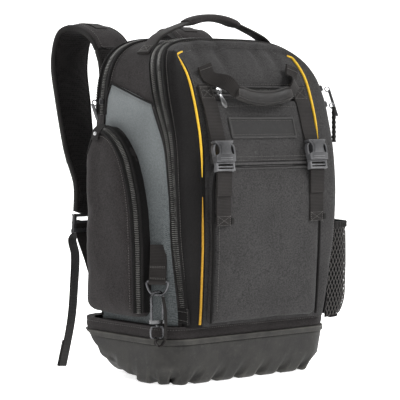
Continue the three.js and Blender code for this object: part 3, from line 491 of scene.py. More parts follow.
def moulded(name, light, dark, rough=.5, grain=900, edge_lightening=.5, metallic=0.0, edge_and_dust_colour=(150, 150, 150),
            bump=.25, shine=.25):
    """Moulded rubber or plastic, or metal: fine grain, scuffs and bright edges; on the zip coil the bright
    edges are painted highlight.
    """
    m, nodes, links, bsdf = build(name)
    co = nodes.new("ShaderNodeTexCoord").outputs["Object"]
    fine = noise_node(nodes, links, co, grain, 2, .6)
    broad = noise_node(nodes, links, co, 35, 4, .6)
    dust = noise_node(nodes, links, co, 160, 4, .7, .55, .75)
    base = blend_colour(nodes, links, broad, rgb(dark), rgb(light))
    base = blend_colour(nodes, links, maths(nodes, links, "MULTIPLY", dust, .12), base, rgb(edge_and_dust_colour))
    # Convex edges lightened by pointiness: scuffs, and on the zip coil painted highlight on the teeth.
    geo = nodes.new("ShaderNodeNewGeometry")
    edge = nodes.new("ShaderNodeMapRange")
    links.new(geo.outputs["Pointiness"], edge.inputs[0])
    edge.inputs[1].default_value, edge.inputs[2].default_value = .51, .58
    edge_mask = maths(nodes, links, "MULTIPLY", maths(nodes, links, "MULTIPLY", edge.outputs[0], edge_lightening),
                 maths(nodes, links, "ADD", maths(nodes, links, "MULTIPLY", broad, .6), .4))
    links.new(blend_colour(nodes, links, edge_mask, base, rgb(edge_and_dust_colour)), bsdf.inputs["Base Color"])
    spread = nodes.new("ShaderNodeMapRange")
    links.new(broad, spread.inputs[0])
    spread.inputs[3].default_value, spread.inputs[4].default_value = rough - .08, rough + .1
    links.new(spread.outputs[0], bsdf.inputs["Roughness"])
    bsdf.inputs["Metallic"].default_value = metallic
    bsdf.inputs["Specular IOR Level"].default_value = shine
    bump_chain(nodes, links, bsdf, [(broad, bump * .6, .0006), (fine, bump, .0002)])
    return m


def netting(name, light, dark, cell=330):
    """Spacer mesh: round openings between threads."""
    m, nodes, links, bsdf = build(name)
    co = nodes.new("ShaderNodeTexCoord").outputs["Object"]
    cells = nodes.new("ShaderNodeTexVoronoi")
    cells.inputs["Scale"].default_value = cell
    cells.inputs["Randomness"].default_value = .25
    links.new(co, cells.inputs["Vector"])
    span = nodes.new("ShaderNodeMapRange")
    span.inputs[1].default_value, span.inputs[2].default_value = .2, .62
    links.new(cells.outputs["Distance"], span.inputs[0])
    broad = noise_node(nodes, links, co, 24, 3, .55)
    base = blend_colour(nodes, links, span.outputs[0], rgb(dark), rgb(light))
    links.new(blend_colour(nodes, links, maths(nodes, links, "MULTIPLY", broad, .3), base, rgb(dark)),
              bsdf.inputs["Base Color"])
    bsdf.inputs["Roughness"].default_value = .9
    bsdf.inputs["Specular IOR Level"].default_value = .12
    bsdf.inputs["Sheen Weight"].default_value = .02
    bump_chain(nodes, links, bsdf, [(broad, .4, .0012), (span.outputs[0], .8, .0008)])
    return m


FABRIC = cloth("fabric_front", (61, 60, 60), (22, 21, 21), weave=.0026)
# Darker cloth for piping, bindings and gussets, and painted shade on the front compartment's left side.
FABRIC_DARK = cloth("fabric_trim_and_shade", (24, 23, 23), (13, 12, 12), weave=.0022, edge_lightening=.15, sheen=.02)
FABRIC_SIDE = cloth("fabric_side", (46, 43, 43), (20, 19, 19), weave=.0026)
# The grey side panels turn lighter towards their top: painted light from above.
GREY = cloth("fabric_grey", (86, 90, 91), (42, 45, 46), weave=.0028, edge_lightening=.1, top=((104, 108, 109), .22, .40))
SPACER = netting("fabric_spacer", (34, 32, 32), (9, 8, 8))
NET = cloth("net_thread", (62, 60, 59), (38, 37, 36), weave=.0012, fold=.0004)
# Near-black cloth for the sheet inside the mesh pocket: painted shade.
SHADE_SHEET = cloth("net_shade_sheet", (15, 14, 14), (8, 8, 8), weave=.0024, edge_lightening=0)
WEB = band_material("webbing_tape", (40, 37, 36), (16, 15, 14))
WEB_SOFT = band_material("binding_tape", (30, 28, 27), (14, 13, 13), rib=.0016)
TAPE = band_material("zip_tape", (22, 21, 20), (9, 9, 9), rib=.0013)
# The zip coil's strong edge lightening is painted highlight on its teeth.
COIL = moulded("zip_coil", (32, 32, 31), (12, 12, 12), rough=.28, edge_lightening=.9, edge_and_dust_colour=(104, 103, 100),
               shine=.4)
YELLOW = cloth("piping_cloth", (250, 196, 62), (226, 158, 40), weave=.0012, rough=.55, fold=.0003, edge_lightening=.1)
# A darker copy of the yellow piping cloth for the lower left piping: painted shade.
YELLOW_SHADED = cloth("piping_cloth_shaded", (196, 146, 48), (150, 104, 34), weave=.0012, rough=.6, fold=.0003,
                   edge_lightening=.1)
THREAD = cloth("sewing_thread", (84, 82, 80), (54, 52, 51), weave=.0008, fold=.0002)
RUBBER = moulded("base_rubber", (51, 50, 48), (31, 30, 29), rough=.6, grain=600, edge_lightening=.5,
                 edge_and_dust_colour=(112, 110, 104), bump=.5)
PLASTIC = moulded("buckle_plastic", (56, 56, 58), (34, 34, 36), rough=.38, edge_lightening=.7,
                  edge_and_dust_colour=(128, 128, 130), shine=.45)
PLASTIC_DARK = moulded("adjuster_plastic", (32, 32, 33), (18, 18, 19), rough=.45, edge_lightening=.6,
                       edge_and_dust_colour=(84, 84, 86))
PATCH = moulded("patch_rubber", (36, 35, 35), (24, 23, 23), rough=.6, edge_lightening=.7, edge_and_dust_colour=(90, 89, 88),
                bump=.5)
GRIP = moulded("grip_rubber", (40, 38, 37), (24, 23, 23), rough=.55, edge_lightening=.5, edge_and_dust_colour=(90, 88, 86))
SILVER = moulded("bright_metal", (190, 190, 190), (150, 150, 151), rough=.35, edge_lightening=.2, metallic=1.0,
                 edge_and_dust_colour=(235, 235, 235), bump=.1)
GUN = moulded("dark_metal", (88, 88, 92), (40, 40, 43), rough=.3, edge_lightening=.5, metallic=1.0,
              edge_and_dust_colour=(160, 160, 160), bump=.12)


def swell(ob, voxel=.005, cap=6.0, pressure=4.0, hold=None):
    """Cloth under a little pressure: remeshed, swollen for 20 frames, and capped at cap mm."""
    mats = list(ob.data.materials)
    for p in ob.data.polygons:
        p.use_smooth = True
    bpy.context.view_layer.update()
    re = ob.modifiers.new("remesh", "REMESH")
    re.mode, re.voxel_size = "VOXEL", voxel
    ob.data = bpy.data.meshes.new_from_object(ob.evaluated_get(bpy.context.evaluated_depsgraph_get()))
    ob.modifiers.clear()
    me = ob.data
    start = np.empty(len(me.vertices) * 3)
    me.vertices.foreach_get("co", start)
    start = start.reshape(-1, 3)
    cl = ob.modifiers.new("cloth", "CLOTH")
    st = cl.settings
    st.quality, st.mass = 5, .3
    st.use_pressure, st.uniform_pressure_force = True, pressure
    st.tension_stiffness = st.compression_stiffness = 12
    st.shear_stiffness, st.bending_stiffness = 5, .6
    st.effector_weights.gravity = 0
    cl.collision_settings.use_collision = False
    cl.point_cache.frame_start, cl.point_cache.frame_end = 1, 20
    scene = bpy.context.scene
    for f in range(1, 21):
        scene.frame_set(f)
    done = ob.evaluated_get(bpy.context.evaluated_depsgraph_get()).to_mesh()
    end = np.empty(len(done.vertices) * 3)
    done.vertices.foreach_get("co", end)
    end = end.reshape(-1, 3)
    ob.evaluated_get(bpy.context.evaluated_depsgraph_get()).to_mesh_clear()
    ob.modifiers.clear()
    scene.frame_set(1)
    move = end - start
    size = np.linalg.norm(move, axis=1, keepdims=True)
    limit = cap * MM * (1 if hold is None else hold(start / MM).reshape(-1, 1))
    end = start + move * (limit / np.maximum(size + limit, 1e-9))
    me.vertices.foreach_set("co", end.ravel())
    me.update()
    me.materials.clear()
    for m in mats:
        me.materials.append(m)
    shade_smooth(me)
    sub = ob.modifiers.new("fine", "SUBSURF")
    sub.levels = sub.render_levels = 1
    ob.data = bpy.data.meshes.new_from_object(ob.evaluated_get(bpy.context.evaluated_depsgraph_get()))
    ob.modifiers.clear()
    shade_smooth(ob.data)


# Rubber base
def plan(half, front, back, corner, count=440):
    """Points round a rounded rectangle, equally spaced, with outward directions."""
    ring, out = [], []
    for q, (sx, sy) in enumerate(((1, -1), (1, 1), (-1, 1), (-1, -1))):
        cx, cy = sx * (half - corner), (-front + corner if sy < 0 else back - corner)
        for i in range(25):
            a = (q - 1) * (PI / 2) + (i / 24) * (PI / 2)
            ring.append((cx + corner * math.cos(a), cy + corner * math.sin(a)))
            out.append((math.cos(a), math.sin(a)))
    ring, out = np.array(ring + ring[:1]), np.array(out + out[:1])
    s = lengths(np.c_[ring, np.zeros(len(ring))])
    t = np.linspace(0, s[-1], count, endpoint=False)
    xy = np.stack([np.interp(t, s, ring[:, k]) for k in range(2)], -1)
    n = unit(np.stack([np.interp(t, s, out[:, k]) for k in range(2)], -1))
    return xy, n, t, s[-1]


def base_rise(x, y):
    """How far the foot of the base lifts off the floor towards its rear corners."""
    lift = np.interp(y, (-30, 10, 60, 80, 102), (0, 14, 31, 48, 56))
    return lift * step01(np.abs(x), 92, 158)


def build_base():
    xy, n, s, total = plan(BASE_HALF, BASE_FRONT, BASE_BACK, BASE_CORNER)
    start = s[np.argmin(np.hypot(xy[:, 0], xy[:, 1] + BASE_FRONT))]
    lugs = round(total / LUG_PITCH)
    corners = np.abs(n[:, 0] * n[:, 1])
    rows = []
    levels = [0, 0, 1.5, 4, 7, 10, 13, 17, 21, 26, 32, 40, 48, 54, 58.5, 60, 60.8, 61, 61.2, 62, 66, 68.6,
              BASE_HEIGHT, BASE_HEIGHT, 66]
    insets = [60, 20, 14.5, 12, 10.6, 9.4, 8.4, 7.2, 6, 5, 4, 2.8, 1.6, .6, 0, .4, .6, -2, -2.5, -2.6, -2.6,
              -2.2, -1.2, 3, 3.4]
    for z, inset in zip(levels, insets):
        phase = (s - start) / total * lugs + .5 - (z * .011)
        valley = np.clip(np.cos(phase * 2 * PI) * 1.5 - .25, 0, 1)
        fade = np.clip(1 - z / 30, 0, 1) ** 1.3
        rim = inset > 50
        deep = inset + (0 if rim else valley * 9 * fade) + 30 * corners * np.clip(1 - z / 26, 0, 1)
        up = z + (0 if rim else valley * 6.5 * np.clip(1 - z / 14, 0, 1))
        px, py = xy[:, 0] - n[:, 0] * deep, xy[:, 1] - n[:, 1] * deep
        up = np.maximum(up, base_rise(px, py) * np.clip(1.15 - z / BASE_HEIGHT, 0, 1) + z * .9)
        if rim:
            up = np.maximum(3.0, base_rise(px, py))
        rows.append(np.stack([px, py, np.minimum(up, BASE_HEIGHT)], -1))
    P = np.concatenate(rows)
    m = len(xy)
    faces = grid_faces(len(rows), m, wrap=True)
    faces.append(tuple(range(m))[::-1])
    ob = piece("base_tub_rubber", P, faces, RUBBER, replaces=["base_tub"], slot="rubber", sharp=50)
    triangulate_wide(ob)
    # Cloth band between the tub and the body, with a bound upper edge
    rows = []
    for z, off in ((69.2, -7), (69.3, -1.2), (71, -.2), (75, .8), (79, .9), (83, .3), (84.5, 1.2),
                   (86.6, 1.3), (87.4, .2), (87.2, -2), (86, -10)):
        ripple = np.array([noise.noise(Vector((a * .03, z * .05, 3))) for a in s])
        rows.append(np.stack([xy[:, 0] + n[:, 0] * (off + ripple), xy[:, 1] + n[:, 1] * (off + ripple),
                              np.full(m, z)], -1))
    piece("base_band_cloth", np.concatenate(rows), grid_faces(len(rows), m, wrap=True), FABRIC_SIDE,
          replaces=["base_band"], slot="cloth_black")
    C = np.c_[xy + n * 1.0, np.full(m, 82.6)]
    piece("base_band_stitches", *stitches(C, np.c_[n, np.zeros(m)], pitch=4.0), THREAD)


# The two compartments
def roll_at(t):
    """Front roll at share t from the seam to the panel's edge: (side, forward), softened."""
    u = np.linspace(0, 1, len(ROLL))
    k = (-.06, -.03, 0, .03, .06)
    side = sum(np.interp(t + d, u, ROLL[:, 0]) for d in k) / 5
    fwd = sum(np.interp(t + d, u, ROLL[:, 1]) for d in k) / 5
    return (0, 0) if t <= 0 else (side, fwd)


def front_point(x, z, side, forward):
    """Points of the front compartment's roll above the outline's points."""
    px = x - corner_cut(z)
    arch = np.maximum(0, (z - ARCH0) / (BODY_TOP - ARCH0))
    pz = z - RIDGE_DROP * side * arch
    inner = np.minimum(px, PANEL_HALF)
    seam = seam_y(z)
    return np.stack([px + (inner - px) * side, seam + (front_y(z) - seam) * forward, pz], -1)


def both(half):
    """The left and right halves of something given on the right."""
    left = half * np.array([-1, 1, 1])
    return left, half


def across_top(left, right, count):
    """Points between the ends of two halves."""
    t = np.linspace(0, 1, count + 2)[1:-1, None]
    return left[-1] + (right[-1] - left[-1]) * t


def build_front_bag():
    x, z, _, _ = outline(BAND_TOP - .5)
    K = 46
    rings = []
    for t in np.linspace(0, 1, 15):
        left, right = both(front_point(x, z, *roll_at(t)))
        rings.append(np.concatenate([left, across_top(left, right, K), right[::-1]]))
    rings = np.array(rings)
    m, n = rings.shape[1], len(x)
    P = list(rings.reshape(-1, 3))
    faces = grid_faces(len(rings), m)
    # Front panel between the edges of the last ring
    last = (len(rings) - 1) * m
    index = np.empty((n, K + 2), int)
    for i in range(n):
        index[i, 0], index[i, -1] = last + i, last + m - 1 - i
        if i == n - 1:
            index[i, 1:-1] = last + n + np.arange(K)
            continue
        a, b = rings[-1][i], rings[-1][m - 1 - i]
        for j in range(1, K + 1):
            index[i, j] = len(P)
            P.append(a + (b - a) * (j / (K + 1)))
    for i in range(n - 1):
        for j in range(K + 1):
            faces.append((index[i, j], index[i, j + 1], index[i + 1, j + 1], index[i + 1, j]))
    middle = np.array([np.mean([P[i] for i in f], 0) for f in faces])
    # Faces outside the front panel take the darker cloth on the left side only, while the right side keeps
    # the front cloth: painted shade on the side turned from the key light.
    ids = ((np.abs(middle[:, 0]) > PANEL_HALF - 2) & (middle[:, 2] < 478)).astype(int)
    ids[middle[:, 0] > 0] = 0
    ob = piece("front_bag_cloth", P, faces, [FABRIC, FABRIC_DARK], ids=ids, replaces=["front_bag"],
               slot="cloth_black", sharp=60)

    def soft(P, N):
        off = wrinkle(P, 60, 2.2, 1, (1, 1, .7)) + wrinkle(P, 24, .9, 2)
        high = step01(P[:, 2], 425, 470) * (N[:, 1] < -.2)
        fold = 0
        for cx, w in ((-38, 9), (36, 8), (72, 10), (-80, 10)):
            fold = fold - 3.2 * np.exp(-((P[:, 0] - cx - (P[:, 2] - 450) * .15) / w) ** 2)
        panel = 3.2 * np.clip(1 - (P[:, 0] / PANEL_HALF) ** 4, 0, 1)
        panel = panel * step01(P[:, 2], 408, 440) * (1 - step01(P[:, 2], 470, 490))
        return off * .7 + fold * high + panel * (N[:, 1] < -.2)

    move_along_normals(ob, soft)


def ring_path(t, lift=0.0):
    """A path along the front compartment's roll at share t, with outward directions."""
    x, z, nx, nz = outline(BAND_TOP + 2)
    a = front_point(x, z, *roll_at(t))
    b = front_point(x, z, *roll_at(t + .05))
    c = front_point(x, z, *roll_at(max(t - .05, 0)))
    left, right = both(a)
    path = np.concatenate([left, across_top(left, right, 14), right[::-1]])
    d1, d2 = both(b - c)
    along = tangents(path)
    cross = np.concatenate([d1, np.repeat(((d1[-1] + d2[-1]) / 2)[None], 14, 0), d2[::-1]])
    N = unit(np.cross(along, unit(cross)))
    outward = np.concatenate([both(np.stack([nx, 0 * nx, nz], -1))[0], np.repeat([[0, 0, 1.0]], 14, 0),
                              both(np.stack([nx, 0 * nx, nz], -1))[1][::-1]])
    N[(N * outward).sum(-1) < 0] *= -1
    return path + N * lift, N


def build_main_bag():
    x, z, nx, nz = outline(60)
    foot = 1 - np.clip((z - BAND_TOP) / 80, 0, 1)
    K = 30
    rings = []
    t4 = np.linspace(0, 1, 4)
    for t in np.linspace(0, 1, 12):
        inset, depth, fi, fd = (np.interp(t ** 1.3, t4, REAR[:, k]) for k in range(4))
        off = -inset - (fi - inset) * foot
        dep = depth + (fd - depth) * foot
        rings.append(np.stack([x + nx * off, rear_y(z) - dep, z + nz * off], -1))
    for behind, share in ((60, 0), (48, 0), (34, 0), (26, .08), (18, .2), (12, .35), (8, .5), (4, .72),
                          (0, 1)):
        rings.append(np.stack([x - nx * share * corner_cut(z), np.minimum(seam_y(z) + behind, 50), z], -1))
    loops = []
    for half in rings:
        left, right = both(half)
        loops.append(np.concatenate([left, across_top(left, right, K), right[::-1]]))
    loops = np.array(loops)
    m, n = loops.shape[1], len(x)
    P = loops.reshape(-1, 3)
    faces = grid_faces(len(loops), m)
    for i in range(n - 1):
        faces.append((i, i + 1, m - 2 - i, m - 1 - i))
    for j in range(K // 2 + 1):
        a, b = n - 1 + j, m - n - j
        if b - a > 2:
            faces.append((a, a + 1, b - 1, b))
    ob = piece("main_bag_cloth", P, faces, FABRIC_SIDE, replaces=["main_bag"], slot="cloth_black", sharp=60)

    def soft(P, N):
        return -.3 + (wrinkle(P, 70, 1.6, 4) + wrinkle(P, 26, .8, 5)) * step01(P[:, 2], 90, 130)

    move_along_normals(ob, soft)


def side_x(y, z):
    """Half width of the rear compartment's side at a depth and height."""
    y, z = np.asarray(y, float), np.asarray(z, float)
    share = np.interp(y - seam_y(z), (0, 4, 8, 12, 34), (1, .72, .5, .35, 0))
    depth = rear_y(z) - y
    inset = np.interp(depth, (0, 3, 10, 24), (24, 11, 3, 0))
    return outline_x(z) - share * corner_cut(z) - inset


def side_skin(name, corners, side, mat, lift, thick, replaces, slot, seed, amount=1.0):
    """A thin panel on the side, inside an outline drawn as (y, z) corners of a warped grid."""
    n, m = 90, 44
    low, top, front, rear = corners
    P = []
    for i in range(n):
        for j in range(m):
            a, b = i / (n - 1), j / (m - 1)
            y0, y1 = front(a), rear(a)
            z = low(b) + (top(b) - low(b)) * a
            y = y0 + (y1 - y0) * b
            edge = min(a, b, 1 - a, 1 - b)
            puff = lift + thick * min(1, edge * 26)
            P.append((side * (side_x(y, z) + puff), y, z))
    P = np.array(P)
    waves = wrinkle(P, 42, 1.1, seed, (1, 1.3, .6)) + wrinkle(P, 16, .45, seed + 1)
    P[:, 0] += side * waves * amount
    return piece(name, P, grid_faces(n, m), mat, replaces=replaces, slot=slot)


# Raised pads
def pad(form, rows, place, corner=12, side=22, cross=40):
    """Rounded-rectangle rings with inset and lift, closed by a grid across the last ring."""
    half, bottom, top, lower, upper = form
    loops = []
    for inset, lift in rows:
        w, b, t = half - inset, bottom + inset, top - inset
        rl, ru = max(1, lower - inset), max(1, upper - inset)
        right = [(w - rl + rl * math.sin(a + .02), b + rl - rl * math.cos(a))
                 for a in np.linspace(0, PI / 2, corner)]
        right += [(w, b + rl + (t - ru - b - rl) * i / side) for i in range(1, side)]
        right += [(w - ru + ru * math.cos(a - .02), t - ru + ru * math.sin(a))
                  for a in np.linspace(0, PI / 2, corner)]
        right = np.array(right)
        bottom_row = [(u, b) for u in np.linspace(right[0, 0], -right[0, 0], cross + 2)[1:-1]]
        top_row = [(u, t) for u in np.linspace(-right[-1, 0], right[-1, 0], cross + 2)[1:-1]]
        left = right * [-1, 1]
        ring = np.concatenate([left, np.array(top_row), right[::-1], np.array(bottom_row)])
        loops.append([place(u, z, lift) for u, z in ring])
    m, k = len(loops[0]), len(right)
    P = [p for loop in loops for p in loop]
    faces = grid_faces(len(loops), m, wrap=True)
    last = (len(loops) - 1) * m
    lift = rows[-1][1]
    flat = [(-right[i, 0], right[i, 1]) for i in range(k)]
    index = np.empty((k, cross + 2), int)
    for i in range(k):
        index[i, 0], index[i, -1] = last + i, last + k + cross + (k - 1 - i)
        for j in range(1, cross + 1):
            if i == k - 1:
                index[i, j] = last + k + j - 1
            elif i == 0:
                index[i, j] = last + 2 * k + cross + (cross - j)
            else:
                index[i, j] = len(P)
                u = flat[i][0] + (-2 * flat[i][0]) * j / (cross + 1)
                P.append(place(u, flat[i][1], lift))
    for i in range(k - 1):
        for j in range(cross + 1):
            faces.append((index[i, j], index[i, j + 1], index[i + 1, j + 1], index[i + 1, j]))
    faces.append(tuple(range(m))[::-1])
    return P, faces


def pad_rows(depth, roll, lowest):
    """Inset and lift of a pad's rings, round a rolled edge."""
    edge = ((.04, .75), (.12, .55), (.26, .33), (.45, .17), (.7, .06), (1, 0))
    return [(0, lowest), (0, 0), (0, depth - roll), *((u * roll, depth - v * roll) for u, v in edge),
            (roll * 1.6 + 2, depth + .3), (roll * 2.4 + 4, depth + .6)]


def flap_share(z):
    return 1 - (.7 * (z - FLAP_BOTTOM)) / (FLAP_TOP - FLAP_BOTTOM)


def outer_y(z):
    """Depth of the outermost cloth on the front at a height."""
    z = float(z)
    if z > FLAP_TOP + 2:
        return float(front_y(z))
    if z > FLAP_BOTTOM:
        return float(front_y(z)) - FLAP_LIFT * flap_share(z)
    return float(front_y(z)) - POCKET_LIFT


def strap_y(z):
    """Depth of the front webbing, straight behind the buckle."""
    top, low = BUCKLE_TOP, BUCKLE_LOW - LADDER_H
    if z > top + 4 or z < low - 4:
        return outer_y(z)
    share = (top - z) / (top - low)
    return outer_y(top) + (outer_y(low) - outer_y(top)) * share - 1.8


def front_place(u, z, lift):
    return (u, float(front_y(z)) - lift, z)


def flap_place(u, z, lift):
    return (u, float(front_y(z)) - (lift if lift < 0 else lift * flap_share(z)), z)


def pad_piece(name, form, rows, place, mat, replaces, slot, seed, amount=1.0, sim=None, cross=40):
    """A padded piece on a face, swollen by a cloth simulation where sim is given."""
    P, F = pad(form, rows, place, cross=cross)
    ob = piece(name, P, F, mat, replaces=replaces, slot=slot, sharp=60)
    triangulate_wide(ob)
    if sim:
        swell(ob, **sim)

    def soft(P, N):
        return amount * (wrinkle(P, 45, 1.4, seed, (1, 1, .6)) + wrinkle(P, 17, .5, seed + 1))

    move_along_normals(ob, soft)
    return ob


def path_on(place, pts, lift, steps=120):
    """A path through (u, z) corners laid on a face, with outward directions by differences."""
    P = catmull([(u, z, 0) for u, z in pts], steps)[:, :2]
    C = np.array([place(u, z, lift) for u, z in P])
    du = np.array([place(u + 1, z, lift) for u, z in P]) - C
    dz = np.array([place(u, z + 1, lift) for u, z in P]) - C
    N = unit(np.cross(du, dz))
    out = np.array([place(u, z, lift + 1) for u, z in P]) - C
    N[(N * out).sum(-1) < 0] *= -1
    return C, N


def joined(name, parts, mat, **more):
    """One piece from several (points, faces) or (points, faces, uv) parts."""
    uv = None
    if all(len(p) == 3 for p in parts):
        uv = np.concatenate([p[2] for p in parts])
    P, F = merge([p[:2] for p in parts])
    return piece(name, P, F, mat, uv=uv, **more)


def webbing(name, *parts):
    """The webbing that stands for one part of the frame."""
    return joined(f"{name}_web", parts, WEB, replaces=[name], slot="webbing")


def bevelled(ob, width=.6, segments=2):
    """Rounds a hard piece's edges."""
    bm = bmesh.new()
    bm.from_mesh(ob.data)
    bmesh.ops.remove_doubles(bm, verts=bm.verts, dist=1e-6)
    edges = [e for e in bm.edges if len(e.link_faces) == 2 and e.calc_face_angle(0) > .5]
    bmesh.ops.bevel(bm, geom=edges, offset=width * MM, segments=segments, profile=.6, affect="EDGES",
                    clamp_overlap=True)
    bm.to_mesh(ob.data)
    bm.free()
    shade_smooth(ob.data, 35)
    return ob


def block(x0, x1, y0, y1, z0, z1):
    return [(x, y, z) for x in (x0, x1) for y in (y0, y1) for z in (z0, z1)], BOX_FACES


def plate(corners, y0, y1):
    """A plate with an outline in x and z, between two depths."""
    n = len(corners)
    P = [(x, y0, z) for x, z in corners] + [(x, y1, z) for x, z in corners]
    F = [tuple(range(n)), tuple(range(2 * n - 1, n - 1, -1))]
    return P, F + [(i, i + n, (i + 1) % n + n, (i + 1) % n) for i in range(n)]


def transformed(part, matrix):
    P = np.asarray(part[0], float)
    M = np.array(matrix)
    return [(P @ M[:3, :3].T + M[:3, 3]), part[1], *part[2:]]


# Making: base and body
build_base()
build_front_bag()
build_main_bag()
grey_form = (lambda b: 88.0, lambda b: 402 + 30 * b ** .8, lambda a: float(seam_y(88 + 320 * a)) + 3,
             lambda a: 46 - 10 * step01(a, .9, 1.0))
for word, s in SIDES:
    side_skin(f"side_panel_{word}_cloth", grey_form, s, GREY, .7, 1.4, [f"side_panel_{word}"], "cloth_grey",
              8 + s, .8)


def side_path(points, side, lift, steps=120):
    """A path over the side through (y, z) corners, with outward directions."""
    P = catmull([(y, z, 0) for y, z in points], steps)[:, :2]
    x = side_x(P[:, 0], P[:, 1]) + lift
    C = np.stack([side * x, P[:, 0], P[:, 1]], -1)
    return C, np.tile([side, 0, 0.0], (len(C), 1))


# Edge binding of the grey panels, and their top seam
for word, s in SIDES:
    top = [(-62, 402), (-30, 411), (8, 423), (37, 432)]
    C, N = side_path(top, s, 1.8)
    back_run = [(37, 431), (43, 410), (46, 380), (46, 300), (46, 200), (46, 92)]
    C2, N2 = side_path(back_run, s, 1.8)
    section = circle(1.5, 8)
    joined(f"side_panel_{word}_edge", [strip(C, N, section), strip(C2, N2, section)], FABRIC_DARK,
           slot="cloth_black")
    C3, N3 = side_path([(y, z - 5) for y, z in top], s, 2.0)
    piece(f"side_panel_{word}_stitches", *stitches(C3, N3), THREAD)

# Rear zip: tape, coil, piping on both sides
ox, oz, onx, onz = outline(60)
keep = oz >= 386
K = 30
half = np.stack([ox - onx * .3, np.full(len(ox), 54.0), oz - onz * .3], -1)[keep]
half_out = np.stack([onx, onx * 0, onz], -1)[keep]
L, R = both(half)
left_out, right_out = half_out * [-1, 1, 1], half_out
C = np.concatenate([L, across_top(L, R, K), R[::-1]])
N = unit(np.concatenate([left_out, np.tile([0, 0, 1.0], (K, 1)), right_out[::-1]]))
C, N = resample(C, N, 3.0)
joined("rear_zip_tape", [strip(C, N, [(-9, .2), (-9, 1.2), (-3, 1.6), (3, 1.6), (9, 1.2), (9, .2)])], TAPE,
       replaces=["rear_zip"], slot="zip_black")
piece("rear_zip_coil", *teeth(C, N, 6.4, 2.3, .75, 1.7), COIL, slot="zip_black")
side_shift = np.array([0, 1.0, 0])
joined("rear_zip_piping", [strip(C + side_shift * d, N, [(u, v + 1.6) for u, v in circle(2.1, 10)])
                           for d in (-10.5, 10.5)], FABRIC_DARK, slot="cloth_black")
parts = [stitches(C + side_shift * d, N, lift=.9) for d in (-15, 15)]
piece("rear_zip_stitches", *merge(parts), THREAD)

PULLS = [(C.copy(), N.copy())]


def trimmed(path, normal, low):
    """The part of a path above a height."""
    ok = path[:, 2] >= low
    return path[ok], normal[ok]


# Expansion zip: two coils on tapes, with piping on both sides
for name, t, lift in (("a", .07, .9), ("b", .19, .9)):
    path, normal = trimmed(*ring_path(t, lift=lift), 96)
    path, normal = resample(path, normal, 3.0)
    band = strip(path, normal, [(-5.6, -.6), (-5.6, .5), (5.6, .5), (5.6, -.6)])
    joined(f"expansion_tape_{name}", [band], TAPE, replaces=["expansion_zip"] if name == "a" else (),
           slot="zip_black")
    piece(f"expansion_coil_{name}", *teeth(path, normal, 5.6, 2.8, .8, .9), COIL, slot="zip_black")
for name, t, r in (("rear", .005, 1.9), ("front", .27, 2.1)):
    path, normal = trimmed(*ring_path(t, lift=1.0), 92)
    path, normal = resample(path, normal, 4.0)
    joined(f"expansion_piping_{name}", [strip(path, normal, circle(r, 10))], FABRIC_DARK, slot="cloth_black")
path, normal = trimmed(*ring_path(.34, lift=.6), 96)
piece("expansion_stitches", *stitches(path, normal), THREAD)

PULLS.append((path, normal))
foot_path, foot_normal = trimmed(*ring_path(.12, lift=2.4), 92)
low = foot_path[:, 2] < 116
for word, s in SIDES:
    ok = low & (foot_path[:, 0] * s > 0)
    joined(f"expansion_foot_{word}", [strip(foot_path[ok], foot_normal[ok], ribbon_section(24, 2.4))],
           FABRIC_DARK, slot="cloth_black")
    A, B = foot_path[ok], foot_normal[ok]
    across = np.cross(tangents(A), B)
    lines = [stitches(A + across * q + B * 1.2, B, pitch=3.0, length=2.0) for q in (-10, 10)]
    lines += [stitches(np.linspace(A[i] - across[i] * 10, A[i] + across[i] * 10, 10) + B[i] * 1.4,
                       np.tile(B[i], (10, 1)), pitch=3.0, length=2.0) for i in (1, len(A) - 2)]
    piece(f"expansion_foot_stitches_{word}", *merge(lines), THREAD)


def panel_edge(z):
    """Half width and depth of the front panel's edge at heights."""
    x0, z0, _, _ = outline(BAND_TOP - 2)
    edge = front_point(x0, z0, *roll_at(1))
    return np.interp(z, edge[:, 2], edge[:, 0]), np.interp(z, edge[:, 2], edge[:, 1])


# Yellow piping along the front panel's edges, its flange, and the stitches beside it
for name, s, z1, z0, mat, thickness in (
        ("left_upper", -1, 478, 300, YELLOW, ((0, .04, .8, 1), (.7, 1, 1, .3))),
        ("left_lower", -1, 272, 90, YELLOW_SHADED, ((0, .25, 1), (.25, .9, 1))),
        ("right_upper", 1, 476, 352, YELLOW, ((0, .04, .8, 1), (.7, 1, 1, .3)))):
    z = np.linspace(z1, z0, 90)
    ex, ey = panel_edge(z)
    C = np.stack([s * (ex + 1.2), ey - 1.2, z], -1)
    N = np.tile(unit([s * .6, -1, 0]), (90, 1))
    thick = np.interp(np.linspace(0, 1, 90), *thickness)
    joined(f"piping_{name}_cloth", [strip(C, N, circle(2.0, 12), scale=thick)], mat,
           replaces=[f"piping_{name}"], slot="piping_yellow")
for word, s in SIDES:
    z = np.linspace(480, 90, 200)
    ex, ey = panel_edge(z)
    C = np.stack([s * (ex + 4.4), ey + 1.2, z], -1)
    N = np.tile(unit([s, -.6, 0]), (200, 1))
    joined(f"piping_flange_{word}", [strip(C, N, [(-2.5, -.8), (-2.5, .4), (2.5, .4), (2.5, -.8)])],
           FABRIC_DARK, slot="cloth_black")
    C = np.stack([C[:, 0] - s * 11, ey - .6, z], -1)[z > FLAP_TOP + 8]
    piece(f"panel_stitches_{word}", *stitches(C, np.tile([0, -1, 0.0], (len(C), 1))), THREAD)

# Padded back
BACK_FORM = (122, 96, 480, 34, 88)
BACK_ROWS = [(0, .3), (0, 3), (0, 6), (1.5, 9), (3, 11.2), (5, 13), (8, 14.2), (14, 15), (20, 15.4)]
P, F = pad(BACK_FORM, BACK_ROWS, lambda u, z, lift: (u, BACK + lift, z), cross=56, side=44)
ob = piece("back_panel_pad", P, F, SPACER, replaces=["back_panel"], slot="mesh_black", sharp=70)


